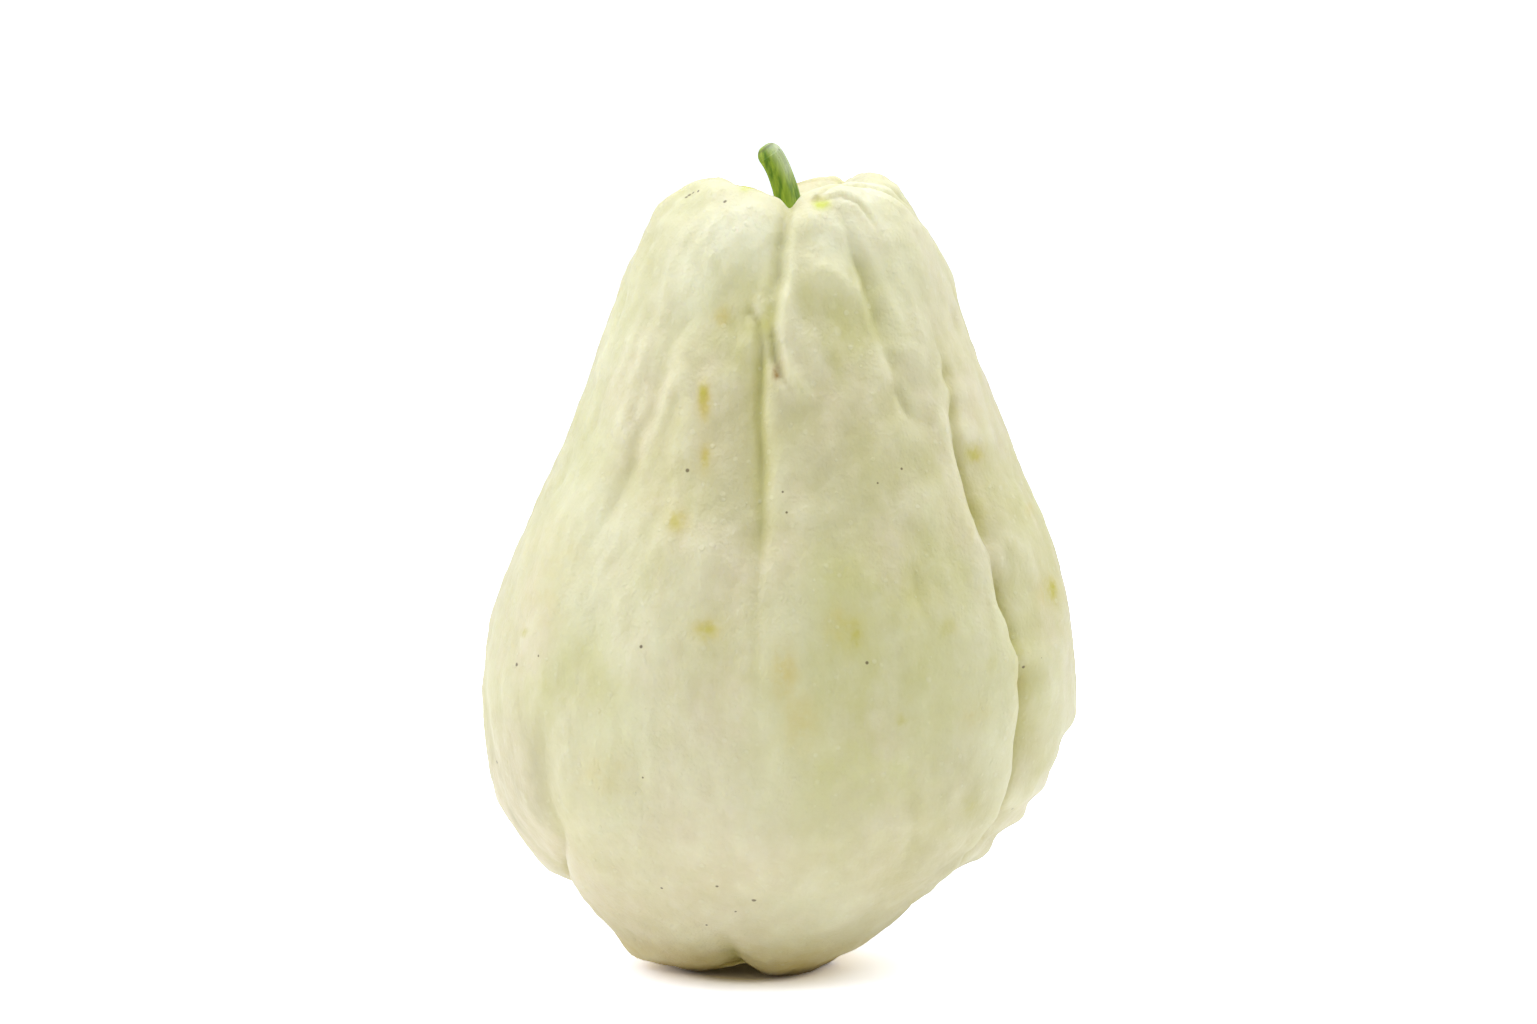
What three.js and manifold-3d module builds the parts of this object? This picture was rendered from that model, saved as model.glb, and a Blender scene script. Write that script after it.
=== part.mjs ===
// A chayote squash standing on its blossom end, with its short cut stem.
// The fruit is one pear-shaped body: broad near the foot, narrow at the
// shoulder, flattened front to back, and drawn in by long folds that run
// between a puckered cleft under the foot and a small hollow at the top.
// The stem stands in a plain round socket at the bottom of that hollow.
// Millimetres, +Z up. The front faces -Y and +X is the front's right.

import * as THREE from 'three';
import Module from 'manifold-3d';

// Driving dimensions

// Outline of the fruit as [half width, height], one pair for each station,
// from the floor of the cleft round the foot and belly to the hollow's floor.
const OUTLINE = [
  [0, 6.5], [3.2, 4.4], [7.8, 0.6], [13.6, -1.2], [19.4, 3.0],
  [29.0, 12.2], [39.0, 21.5], [45.8, 31.0], [48.7, 43.5], [48.2, 57.0],
  [44.2, 70.5], [38.3, 84.0], [33.3, 97.0], [28.9, 109.0], [24.9, 120.4],
  [19.8, 128.4], [13.4, 132.4], [7.8, 130.2], [4.0, 125.8], [0, 123.2],
];
const TOP_STATION = OUTLINE.length - 1;

// How far each cross-section's middle lies to the right, as [station, offset].
const LEAN = [
  [0, -5.6], [3, -5.0], [4, -5.8], [5, -5.2], [6, -3.0], [7, -1.5],
  [9, 0.3], [11, 1.0], [16, 1.2], [19, 1.7],
];

// Depth of each cross-section as a share of its width, as [station, share].
const FLATNESS = [
  [0, 1.1], [2, 1.05], [3, 1.0], [5, 0.90], [8, 0.84],
  [12, 0.86], [15, 0.92], [17, 1.0], [19, 1.0],
];

// Exponent of the cross-section: 2 is an ellipse, more is squarer.
const SECTION_POWER = 2.15;

// Long folds. A path point is [station, degrees from the front, depth], and
// left and right are the widths over which the two sides slope away.
const FOLDS = {
  front: {
    left: 8.5, right: 3.2,
    path: [
      [9.5, -6, 0], [10, -6, 0.9], [11, -6.4, 2.2], [11.9, -5, 2.6], [12.5, -4, 3.4],
      [13, -4, 4.0], [14, -0.5, 4.6], [15, 1, 5.6], [16, 1.5, 6.0], [17, 2, 4.0], [18.5, 2, 0],
    ],
  },
  frontRight: {
    left: 2.6, right: 6,
    path: [
      [11.1, 38, 0], [11.6, 35.5, 1.3], [12.2, 34, 2.2], [13, 32, 3.2],
      [13.8, 28, 3.2], [14.4, 26, 1.8], [15, 25, 0.8], [16, 24, 0],
    ],
  },
  right: {
    left: 2.6, right: 8,
    path: [
      [0.8, 110, 0], [2, 110, 1.6], [3.2, 108, 1.3], [4.3, 102, 1.8], [5.2, 92, 3.4], [5.7, 80, 4.2], [6.3, 71, 4.6],
      [7, 63, 4.8], [8, 57.5, 5.0], [9, 52.5, 4.8], [10, 50, 4.4], [11, 48.5, 4.2],
      [12, 50.5, 2.8], [12.8, 52, 1.2], [13.6, 54, 0],
    ],
  },
  rightShoulder: {
    left: 3, right: 4,
    path: [
      [12, 88, 0], [13, 84, 0.8], [14.5, 78, 1.4], [15.4, 70, 1.8],
      [16.2, 60, 2.0], [17.3, 55, 1.6], [18.5, 50, 0],
    ],
  },
  leftShoulder: {
    left: 4, right: 4,
    path: [
      [11.5, -96, 0], [13, -95, 1.0], [14.5, -92, 1.8],
      [16, -84, 2.6], [17.3, -72, 1.8], [18.5, -70, 0],
    ],
  },
  leftFoot: {
    left: 6.5, right: 3,
    path: [
      [0.8, -112, 0], [2, -112, 1.5], [3.2, -108, 1.2], [4.0, -102, 1.4], [4.6, -92, 2.8], [5.15, -80, 3.2], [5.6, -70, 2.8],
      [6.2, -61, 2.4], [7, -55, 2.0], [7.8, -52, 0.9], [8.6, -50, 0],
    ],
  },
  leftBelly: {
    left: 4, right: 3,
    path: [[9.6, -45, 0], [10.4, -44, 0.7], [11.2, -41, 0.9], [12.2, -38, 0.8], [13.2, -36, 0.3], [14, -36, 0]],
  },
  backRight: {
    left: 6, right: 5,
    path: [
      [4, 104, 0], [5, 112, 2.4], [7, 124, 3.6], [9, 128, 3.6],
      [12, 130, 3.6], [15, 132, 3.6], [16.5, 134, 2.6], [18.5, 134, 0],
    ],
  },
  back: {
    left: 6, right: 6,
    path: [
      [0.8, 176, 0], [2.2, 176, 2.8], [4, 176, 3.0], [6, 177, 2.4], [8, 179, 1.6],
      [11, 181, 2.8], [14, 182, 4.0], [16, 182, 3.2], [18.5, 182, 0],
    ],
  },
  backLeft: {
    left: 6, right: 6,
    path: [
      [4, -108, 0], [5, -114, 2.4], [7, -122, 3.0], [9, -126, 3.0],
      [12, -128, 3.4], [15, -130, 3.0], [16.5, -132, 2.0], [18.5, -132, 0],
    ],
  },
  frontFoot: {
    left: 3, right: 3,
    path: [[0.8, -4, 0], [2.2, -4, 2.8], [3.2, -4, 2.6], [4.0, -5, 1.2], [4.8, -6, 0]],
  },
};

// Each fold is a soft valley with a narrower crease along its bottom.
const CREASE_SHARE = 0.35;
const CREASE_WIDTH = 2.0;
const VALLEY_ROUNDING = 0.25;
// The steepest side that the facets can follow cleanly, as a slope width.
const LEAST_SLOPE = 3;

// Knobs and dents as [station, degrees, height, size around, size along].
const KNOBS = [
  [14.3, -36, 0.9, 7, 5], [13.4, -15, -1.3, 5, 7], [12.75, -13, 0.5, 3, 3],
  [13.65, 14, 1.0, 5, 2.6], [13.1, 17, -1.0, 5, 4], [12.15, 1.5, 0.9, 2.6, 2.6],
  [14.6, 9, 0.8, 3, 4], [12.2, 28, 0.7, 2.5, 4], [11.6, 30, 0.6, 4, 3],
  [9.0, -45, -0.8, 9, 9], [9.9, -60, 0.7, 8, 8], [8.0, 82, 1.0, 8, 5],
  [7.1, 86, 1.0, 6, 3.5], [6.4, 90, 1.3, 5, 3.5], [5.75, 92, 1.2, 4.5, 3],
  [11.3, -27, 0.5, 2, 8], [12.0, -66, 0.5, 2.2, 9], [8.5, 0, 0.6, 5, 14],
];
const STATION_LENGTH = 13;

// Slow unevenness of the whole skin.
const RIPPLE_HEIGHT = 0.22;
const RIPPLE_LENGTH = 16;
const RIPPLE_STRETCH = 1.6;
const RIPPLE_COUNT = 24;

// Close to the axis, where sections shrink to a point, folds and knobs are
// measured on a circle of this radius.
const LEAST_RADIUS = 3;

// Facets of the fruit round the axis and from the cleft to the hollow.
const FRUIT_COLUMNS = 90;
const FRUIT_ROWS = 54;
// Columns that run along a fold, as [degrees of the even column, fold].
const FOLLOWED = [[-72, 'leftFoot'], [0, 'front'], [60, 'right']];

// The stem's middle line, from the socket's floor to the cut end.
const STEM_LINE = [
  [2.1, 0.2, 119.6], [1.8, 0.1, 123.5], [1.2, 0, 127.4],
  [0.3, 0, 130.9], [-0.9, -0.1, 133.9], [-2.2, -0.2, 136.6],
];
const STEM_RADIUS = 2.0;
// Radius along the stem as [share of its length, share of STEM_RADIUS].
const STEM_TAPER = [[0, 1.12], [0.3, 1.08], [0.55, 0.98], [0.8, 0.98], [1, 1.06]];
const STEM_RIBS = 5;
const STEM_RIB_HEIGHT = 0.05;
const STEM_EDGE = 0.6;
const STEM_SIDES = 20;
const STEM_STEPS = 14;
const SOCKET_CLEARANCE = 0.3;

const GOLDEN_TURN = Math.PI * (1 + Math.sqrt(5));

// A smooth line through [x, value, value ...] nodes, flat at both ends and at
// every crest, so that it never swings past a node.
function smoothThrough(nodes, x, column = 1) {
  const last = nodes.length - 1;
  if (x <= nodes[0][0]) return nodes[0][column];
  if (x >= nodes[last][0]) return nodes[last][column];
  const chord = (k) => (nodes[k + 1][column] - nodes[k][column]) / (nodes[k + 1][0] - nodes[k][0]);
  const slope = (k) => {
    if (k === 0 || k === last) return 0;
    return chord(k - 1) * chord(k) <= 0 ? 0 : (chord(k - 1) + chord(k)) / 2;
  };
  let i = 0;
  while (x >= nodes[i + 1][0]) i += 1;
  const span = nodes[i + 1][0] - nodes[i][0];
  const f = (x - nodes[i][0]) / span;
  const start = (1 + 2 * f) * (1 - f) ** 2;
  const rise = f * (1 - f) ** 2;
  const fall = f * f * (f - 1);
  return start * nodes[i][column] + rise * span * slope(i)
    + (1 - start) * nodes[i + 1][column] + fall * span * slope(i + 1);
}

// Half width and height of the outline at any station between its points.
function outlineAt(station) {
  const mirrored = (inner) => [-inner[0], inner[1]];
  const at = (k) => {
    if (k < 0) return mirrored(OUTLINE[1]);
    if (k > TOP_STATION) return mirrored(OUTLINE[TOP_STATION - 1]);
    return OUTLINE[k];
  };
  const i = Math.min(Math.floor(station), TOP_STATION - 1);
  const f = station - i;
  return [0, 1].map((axis) => {
    const [a, b, c, d] = [i - 1, i, i + 1, i + 2].map((k) => at(k)[axis]);
    const bend = 2 * a - 5 * b + 4 * c - d;
    const twist = 3 * b - a - 3 * c + d;
    return 0.5 * (2 * b + (c - a) * f + bend * f * f + twist * f ** 3);
  });
}

// The fruit without its folds: the outline swept round a rounded section.
function envelopeAt(turn, station) {
  const [halfWidth, height] = outlineAt(station);
  const sine = Math.sin(turn);
  const cosine = Math.cos(turn);
  const sum = Math.abs(sine) ** SECTION_POWER + Math.abs(cosine) ** SECTION_POWER;
  const reach = halfWidth * sum ** (-1 / SECTION_POWER);
  const x = smoothThrough(LEAN, station) + reach * sine;
  const y = -reach * cosine * smoothThrough(FLATNESS, station);
  return new THREE.Vector3(x, y, height);
}

// Outward normal of the envelope, from points just beside the given one.
function envelopeNormal(turn, station) {
  const step = 1e-3;
  const inner = THREE.MathUtils.clamp(station, 2 * step, TOP_STATION - 2 * step);
  const around = envelopeAt(turn + step, station).sub(envelopeAt(turn - step, station));
  const along = envelopeAt(turn, inner + step).sub(envelopeAt(turn, inner - step));
  return around.cross(along).normalize();
}

// Distance round the fruit from the given angle, positive to the right.
function distanceAround(turn, degrees, radius) {
  const angle = turn - THREE.MathUtils.degToRad(degrees);
  return Math.atan2(Math.sin(angle), Math.cos(angle)) * radius;
}

function foldDepth(turn, station, radius) {
  let depth = 0;
  for (const fold of Object.values(FOLDS)) {
    const first = fold.path[0][0];
    const last = fold.path[fold.path.length - 1][0];
    if (station < first || station > last) continue;
    const distance = distanceAround(turn, smoothThrough(fold.path, station), radius);
    const width = Math.max(distance < 0 ? fold.left : fold.right, LEAST_SLOPE);
    const fall = Math.hypot(distance / width, VALLEY_ROUNDING) - VALLEY_ROUNDING;
    const crease = Math.exp(-((distance / CREASE_WIDTH) ** 2));
    const section = (1 - CREASE_SHARE) * Math.exp(-fall) + CREASE_SHARE * crease;
    depth += smoothThrough(fold.path, station, 2) * section;
  }
  return depth;
}

function knobHeight(turn, station, radius) {
  let height = 0;
  for (const [middle, degrees, rise, around, along] of KNOBS) {
    const sideways = distanceAround(turn, degrees, radius) / around;
    const lengthways = (station - middle) * STATION_LENGTH / along;
    height += rise * Math.exp(-(sideways ** 2) - lengthways ** 2);
  }
  return height;
}

// A sum of sine waves whose directions are spread evenly over a sphere.
function rippleHeight(point) {
  let total = 0;
  for (let i = 0.5; i < RIPPLE_COUNT; i += 1) {
    const turn = GOLDEN_TURN * (i + 1);
    const rise = 1 - 2 * i / RIPPLE_COUNT;
    const level = Math.sqrt(1 - rise * rise);
    const pitch = 2 * Math.PI / RIPPLE_LENGTH * (0.7 + 0.6 * ((i * 0.754877 + 1) % 1));
    const phase = 2 * Math.PI * ((i * 0.569840 + 0.31) % 1);
    const sideways = point.x * level * Math.cos(turn) + point.y * level * Math.sin(turn);
    total += Math.sin(pitch * (sideways + point.z * rise / RIPPLE_STRETCH) + phase);
  }
  return RIPPLE_HEIGHT * total / Math.sqrt(RIPPLE_COUNT / 2);
}

// Angle of a column at a station. Some columns bend to run along a fold, and
// those between them share out the space evenly.
function columnTurn(column, station) {
  const even = 360 * column / FRUIT_COLUMNS - 180;
  const bends = FOLLOWED.map(([degrees, fold]) => [degrees, smoothThrough(FOLDS[fold].path, station)]);
  const stops = [[-180, -180], ...bends, [180, 180]];
  const next = stops.findIndex(([degrees]) => degrees > even);
  const [from, bentFrom] = stops[next - 1];
  const [to, bentTo] = stops[next];
  return THREE.MathUtils.degToRad(bentFrom + (bentTo - bentFrom) * (even - from) / (to - from));
}

// The fruit's surface. The foot is pressed flat where it would pass the ground.
function fruitAt(turn, station) {
  const point = envelopeAt(turn, station);
  const radius = Math.max(outlineAt(station)[0], LEAST_RADIUS);
  const height = knobHeight(turn, station, radius) + rippleHeight(point)
    - foldDepth(turn, station, radius);
  point.addScaledVector(envelopeNormal(turn, station), height);
  point.z = Math.max(point.z, 0);
  return point;
}

// A closed skin over rings of points, with one point at each end. Each four-
// sided cell is split along its shorter diagonal.
function skinOver(rings, firstPoint, lastPoint) {
  const columns = rings[0].length;
  const points = [...rings.flat(), firstPoint, lastPoint];
  const firstIndex = points.length - 2;
  const lastIndex = points.length - 1;
  const topRing = (rings.length - 1) * columns;
  const faces = [];
  for (let j = 0; j < columns; j += 1) {
    const next = (j + 1) % columns;
    faces.push(firstIndex, next, j);
    faces.push(lastIndex, topRing + j, topRing + next);
    for (let i = 0; i < rings.length - 1; i += 1) {
      const a = i * columns + j;
      const b = i * columns + next;
      const c = b + columns;
      const d = a + columns;
      if (points[a].distanceTo(points[c]) <= points[b].distanceTo(points[d])) {
        faces.push(a, b, c, a, c, d);
      } else {
        faces.push(a, b, d, b, c, d);
      }
    }
  }
  const geometry = new THREE.BufferGeometry().setFromPoints(points);
  geometry.setIndex(faces);
  return geometry;
}

function fruitGeometry() {
  const rings = [];
  for (let row = 1; row < FRUIT_ROWS; row += 1) {
    const station = TOP_STATION * row / FRUIT_ROWS;
    const ring = [];
    for (let column = 0; column < FRUIT_COLUMNS; column += 1) {
      ring.push(fruitAt(columnTurn(column, station), station));
    }
    rings.push(ring);
  }
  return skinOver(rings, fruitAt(0, 0), fruitAt(0, TOP_STATION));
}

// A ribbed rod along the stem's line with a worn edge at both ends. Its
// surface is moved outwards, and its lower end down, by the margin.
function stemGeometry(margin) {
  const line = new THREE.CatmullRomCurve3(STEM_LINE.map((point) => new THREE.Vector3(...point)));
  const length = line.getLength();
  const ringAt = (share, narrowing) => {
    const centre = line.getPointAt(share);
    const along = line.getTangentAt(share);
    const side = new THREE.Vector3(0, 1, 0).cross(along).normalize();
    const front = along.clone().cross(side);
    if (share === 0) centre.addScaledVector(along, -margin);
    const ring = [];
    for (let k = 0; k < STEM_SIDES; k += 1) {
      const turn = 2 * Math.PI * k / STEM_SIDES;
      const rib = 1 + STEM_RIB_HEIGHT * Math.cos(STEM_RIBS * turn);
      const radius = STEM_RADIUS * smoothThrough(STEM_TAPER, share) * rib * narrowing + margin;
      ring.push(centre.clone()
        .addScaledVector(side, radius * Math.cos(turn))
        .addScaledVector(front, radius * Math.sin(turn)));
    }
    return ring;
  };
  const edge = STEM_EDGE / length;
  const rings = [ringAt(0, 0.8)];
  for (let step = 0; step <= STEM_STEPS; step += 1) {
    rings.push(ringAt(edge + (1 - 2 * edge) * step / STEM_STEPS, 1));
  }
  rings.push(ringAt(1, 0.8));
  const start = line.getPointAt(0).addScaledVector(line.getTangentAt(0), -margin);
  return skinOver(rings, start, line.getPointAt(1));
}

const wasm = await Module();
wasm.setup();

function solidOf(geometry) {
  const vertProperties = new Float32Array(geometry.attributes.position.array);
  const triVerts = new Uint32Array(geometry.index.array);
  return new wasm.Manifold(new wasm.Mesh({ numProp: 3, vertProperties, triVerts }));
}

function geometryOf(solid) {
  const { vertProperties, triVerts } = solid.getMesh();
  const geometry = new THREE.BufferGeometry();
  geometry.setAttribute('position', new THREE.BufferAttribute(vertProperties, 3));
  geometry.setIndex(new THREE.BufferAttribute(triVerts, 1));
  return geometry;
}

function meshOf(name, geometry, color, roughness) {
  geometry.computeVertexNormals();
  const material = new THREE.MeshStandardMaterial({ color, roughness, metalness: 0 });
  const mesh = new THREE.Mesh(geometry, material);
  mesh.name = name;
  return mesh;
}

// The fruit, with the stem's socket cut into the floor of its hollow
const socket = solidOf(stemGeometry(SOCKET_CLEARANCE));
const fruit = meshOf('fruit', geometryOf(solidOf(fruitGeometry()).subtract(socket)), '#dad6b1', 0.45);

// The stem, standing in its socket
const stem = meshOf('stem', stemGeometry(0), '#8da54b', 0.6);

// The whole squash, with the origin on the ground under the middle of its box
const chayote = new THREE.Group();
chayote.add(fruit, stem);
const box = new THREE.Box3().setFromObject(chayote);
const middle = box.getCenter(new THREE.Vector3());
chayote.position.set(-middle.x, -middle.y, -box.min.z);

export default chayote;
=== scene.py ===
"""A pale chayote squash standing on its blossom end, with its short cut stem.

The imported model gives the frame. The fruit and the stem are built here again as
fine surfaces of the same shape, each replacing its node, and dressed with
procedural skins. Lengths are millimetres until a mesh is made, and metres there.
Stations run along the fruit, from 0 at the floor of the cleft under the foot to
19 at the floor of the hollow that holds the stem. Turns are measured round the
upright axis from the front, which faces -Y, towards +X.
"""
import logging
import math
from dataclasses import dataclass, field
from enum import Enum
from typing import Any, Sequence

import bpy
import numpy as np
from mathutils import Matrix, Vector


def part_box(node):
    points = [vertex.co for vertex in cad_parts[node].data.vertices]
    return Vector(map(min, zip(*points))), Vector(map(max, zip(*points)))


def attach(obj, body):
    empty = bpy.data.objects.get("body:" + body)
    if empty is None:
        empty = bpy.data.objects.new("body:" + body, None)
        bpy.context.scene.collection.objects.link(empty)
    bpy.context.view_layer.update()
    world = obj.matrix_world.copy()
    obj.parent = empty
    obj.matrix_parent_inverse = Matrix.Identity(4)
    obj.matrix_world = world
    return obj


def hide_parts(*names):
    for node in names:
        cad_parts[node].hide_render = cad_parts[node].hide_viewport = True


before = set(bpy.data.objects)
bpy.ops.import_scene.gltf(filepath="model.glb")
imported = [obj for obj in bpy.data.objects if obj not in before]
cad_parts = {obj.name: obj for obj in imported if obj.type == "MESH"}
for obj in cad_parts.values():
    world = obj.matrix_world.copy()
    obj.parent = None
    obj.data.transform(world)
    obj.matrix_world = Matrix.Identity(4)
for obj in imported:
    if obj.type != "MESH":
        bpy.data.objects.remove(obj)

LOG = logging.getLogger("chayote")
METRES = 0.001
STATION_LENGTH = 13.0
UPPER_RADIUS = 28.0
# Steps that spread draws evenly: an angle round a sphere, and a pair over a square.
GOLDEN_TURN = math.pi * (1 + math.sqrt(5))
EVEN_STEPS = (0.754877, 0.569840)

Points = np.ndarray
Values = np.ndarray
Nodes = Sequence[Sequence[float]]
Span = tuple[float, float]
Triple = tuple[float, float, float]
Colour = tuple[float, float, float, float]
Inputs = dict[Any, Any]


class Slot(Enum):
    """Material slots that the record names."""

    FRUIT = "fruit_skin"
    STEM = "stem_skin"


class Tint(Enum):
    """Kinds of coloured mark on the skin. The value names the mark's attribute."""

    OCHRE = "tint_ochre"
    YELLOW = "tint_yellow"
    LEMON = "tint_lemon"
    # Green patches; those in the neck's hollow also paint its shade.
    GREEN = "tint_green_and_shade"
    BROWN = "tint_brown"
    # Light patches: partly the skin's own pale mottling, partly painted light on the lit shoulder and neck.
    PALE_AND_HIGHLIGHT = "tint_pale_and_highlight"
    # Greyish marks that paint shade in the front's hollows.
    PAINTED_SHADE = "tint_painted_shade"


def cubics_through(xs: Values, ys: Values, slopes: Values, x: Values) -> Values:
    """A line through points that meets each of them with its slope.

    Between two points it is the cubic with their values and slopes at its ends.

    Args:
        xs: where the points lie, in order.
        ys: the points' values.
        slopes: the line's slopes there.
        x: where to read the line.

    Returns:
        The line's values, as an array shaped like x.
    """
    i = np.clip(np.searchsorted(xs, x, side="right") - 1, 0, len(xs) - 2)
    span = xs[i + 1] - xs[i]
    f = (x - xs[i]) / span
    start = (1 + 2 * f) * (1 - f) ** 2
    rise = f * (1 - f) ** 2 * span * slopes[i]
    fall = f * f * (f - 1) * span * slopes[i + 1]
    return start * ys[i] + rise + (1 - start) * ys[i + 1] + fall


def smooth_through(nodes: Nodes, x: Values, column: int = 1) -> Values:
    """A smooth line through nodes, flat at both ends and at every crest.

    A node's slope is the mean of the chords beside it.

    Args:
        nodes: rows of x and one or more values, in order of x.
        x: where to read the line.
        column: which of the values to follow.

    Returns:
        The line's values, as an array shaped like x.
    """
    table = np.array(nodes, float)
    xs, ys = table[:, 0], table[:, column]
    chord = np.diff(ys) / np.diff(xs)
    slopes = np.zeros(len(xs))
    slopes[1:-1] = np.where(chord[:-1] * chord[1:] > 0, (chord[:-1] + chord[1:]) / 2, 0)
    return cubics_through(xs, ys, slopes, np.clip(x, xs[0], xs[-1]))


def smooth_step(x: Values, low: float, high: float) -> Values:
    """A rise from 0 at low to 1 at high: 3 f^2 - 2 f^3 of the share f between them."""
    f = np.clip((x - low) / (high - low), 0, 1)
    return f * f * (3 - 2 * f)


def distance_around(turn: Values, degrees: Values, radius: Values) -> Values:
    """Distance round a circle, positive to the right of an angle in degrees."""
    angle = turn - np.radians(degrees)
    return np.arctan2(np.sin(angle), np.cos(angle)) * radius


def irregular(place: Values, seed: float) -> Values:
    """Uneven values round nought: a slow and a quick sine wave, each swung by a slower sine."""
    quick_share = 0.6
    slow = np.sin(2.9 * place + seed + 2.2 * np.sin(1.3 * place + 2 * seed))
    quick = np.sin(7.7 * place + 3 * seed + 2.5 * np.sin(2.1 * place + seed))
    return slow + quick_share * quick


@dataclass(frozen=True)
class Fold:
    """A long valley in the skin with a narrow crease along its bottom.

    Attributes:
        path: points of station, degrees from the front, and depth.
        left: width over which the left side slopes away.
        right: width over which the right side slopes away.
        crease_share: part of the depth that lies in the crease.
        crease_width: half width of the crease.
        lip: height of the rounded lip along the left side.
        tint: how strongly the crease is coloured.
        lumps: how unevenly the depth and the line run, as a share.
        rounding: how far the valley's bottom is rounded, as a share of its width.
        lip_gap: distance from the crease to the lip.
        lip_width: half width of the lip.
        lip_depth: depth of the fold from which the lip has its full height.
    """

    path: tuple[Triple, ...]
    left: float
    right: float
    crease_share: float = 0.35
    crease_width: float = 1.2
    lip: float = 0.0
    tint: float = 1.0
    lumps: float = 0.2
    rounding: float = 0.25
    lip_gap: float = 3.2
    lip_width: float = 2.2
    lip_depth: float = 2.0

    def distance(self, turn: Values, station: Values, radius: Values) -> Values:
        """Distance from the crease, positive to its right, with a slight wander."""
        wander = self.lumps * irregular(station, self.path[0][1])
        return distance_around(turn, smooth_through(self.path, station), radius) + wander

    def strength(self, station: Values) -> Values:
        """Depth of the crease at each station, a little uneven, and nothing past its ends."""
        inside = (station >= self.path[0][0]) & (station <= self.path[-1][0])
        uneven = 1 + self.lumps * irregular(station, self.path[0][1] + 1)
        return np.where(inside, smooth_through(self.path, station, 2), 0) * uneven

    def depth(self, turn: Values, station: Values, radius: Values) -> Values:
        """Depth below the plain skin.

        The valley falls off as exp(-distance / width), rounded where the two
        sides meet, and the crease adds a narrow bell. The lip takes away a bell
        that stands to the left of the crease.
        """
        distance = self.distance(turn, station, radius)
        width = np.where(distance < 0, self.left, self.right)
        valley = np.exp(self.rounding - np.hypot(distance / width, self.rounding))
        crease = np.exp(-((distance / self.crease_width) ** 2))
        section = (1 - self.crease_share) * valley + self.crease_share * crease
        strength = self.strength(station)
        lip = self.lip * np.exp(-(((distance + self.lip_gap) / self.lip_width) ** 2))
        return strength * section - lip * np.minimum(strength / self.lip_depth, 1)


@dataclass(frozen=True)
class Knob:
    """A bump on the skin, or a dent where its height is below nought.

    Attributes:
        station: station of its middle.
        degrees: angle of its middle from the front.
        height: how far it stands out.
        around: half size round the fruit.
        along: half size along the fruit.
    """

    station: float
    degrees: float
    height: float
    around: float
    along: float

    def rise(self, turn: Values, station: Values, radius: Values) -> Values:
        """Height above the plain skin: a bell over the distances round and along."""
        sideways = distance_around(turn, self.degrees, radius) / self.around
        lengthways = (station - self.station) * STATION_LENGTH / self.along
        return self.height * np.exp(-(sideways**2) - lengthways**2)


@dataclass(frozen=True)
class Trace:
    """A fine groove or ridge along a line that may run in any direction.

    Attributes:
        path: points of station, degrees from the front, and height, or depth below nought.
        width: half width of the line.
        tint: how strongly a groove is coloured.
    """

    path: tuple[Triple, ...]
    width: float = 1.0
    tint: float = 0.0

    def bell(self, turn: Values, station: Values) -> Values:
        """Height along the line, falling off as a bell over the distance from it.

        The distance is to the nearest of the straight parts between points,
        measured on the fruit's usual radius where it is narrow.
        """
        best = np.full_like(turn, 1e9)
        height = np.zeros_like(turn)
        for (s0, d0, h0), (s1, d1, h1) in zip(self.path, self.path[1:]):
            length_x = math.radians(d1 - d0) * UPPER_RADIUS
            length_y = (s1 - s0) * STATION_LENGTH
            x = distance_around(turn, d0, UPPER_RADIUS)
            y = (station - s0) * STATION_LENGTH
            f = np.clip((x * length_x + y * length_y) / (length_x**2 + length_y**2), 0, 1)
            gap = np.hypot(x - f * length_x, y - f * length_y)
            height = np.where(gap < best, h0 + (h1 - h0) * f, height)
            best = np.minimum(best, gap)
        return height * np.exp(-((best / self.width) ** 2))


@dataclass(frozen=True)
class Ripple:
    """Unevenness of the skin, made of sine waves spread over all directions.

    Attributes:
        height: usual height of a wave.
        length: usual length of a wave.
        stretch: how much longer the waves are along the fruit.
        count: number of waves.
        seed: shifts directions and phases.
        creased: whether the waves meet in sharp grooves.
        reach: rows of station and share, for where the waves are strong.
    """

    height: float
    length: float
    stretch: float
    count: int
    seed: int
    creased: bool = False
    reach: tuple[Span, ...] = ((0, 1), (19, 1))

    def rise(self, points: Points, station: Values) -> Values:
        """Height of the unevenness at points on the skin.

        Each wave is the sine of a steady growth along its own direction. The
        directions climb a sphere in equal steps, a golden turn apart. Lengths
        and phases are drawn from two even spreads over 0 to 1.
        """
        i = np.arange(self.count) + 0.5
        turn = GOLDEN_TURN * (i + self.seed)
        climb = 1 - 2 * i / self.count
        level = np.sqrt(1 - climb**2)
        shifts = (1, 0.31)
        lengths, phases = [(i * step + shift * self.seed) % 1 for step, shift in zip(EVEN_STEPS, shifts)]
        pitch = 2 * np.pi / self.length * (0.7 + 0.6 * lengths)
        way = np.stack([level * np.cos(turn), level * np.sin(turn), climb / self.stretch])
        waves = np.sin(points @ (way * pitch) + 2 * np.pi * phases).sum(-1) / math.sqrt(self.count / 2)
        if self.creased:
            usual = 0.8
            waves = usual - np.abs(waves)
        return self.height * waves * smooth_through(self.reach, station)


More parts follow.
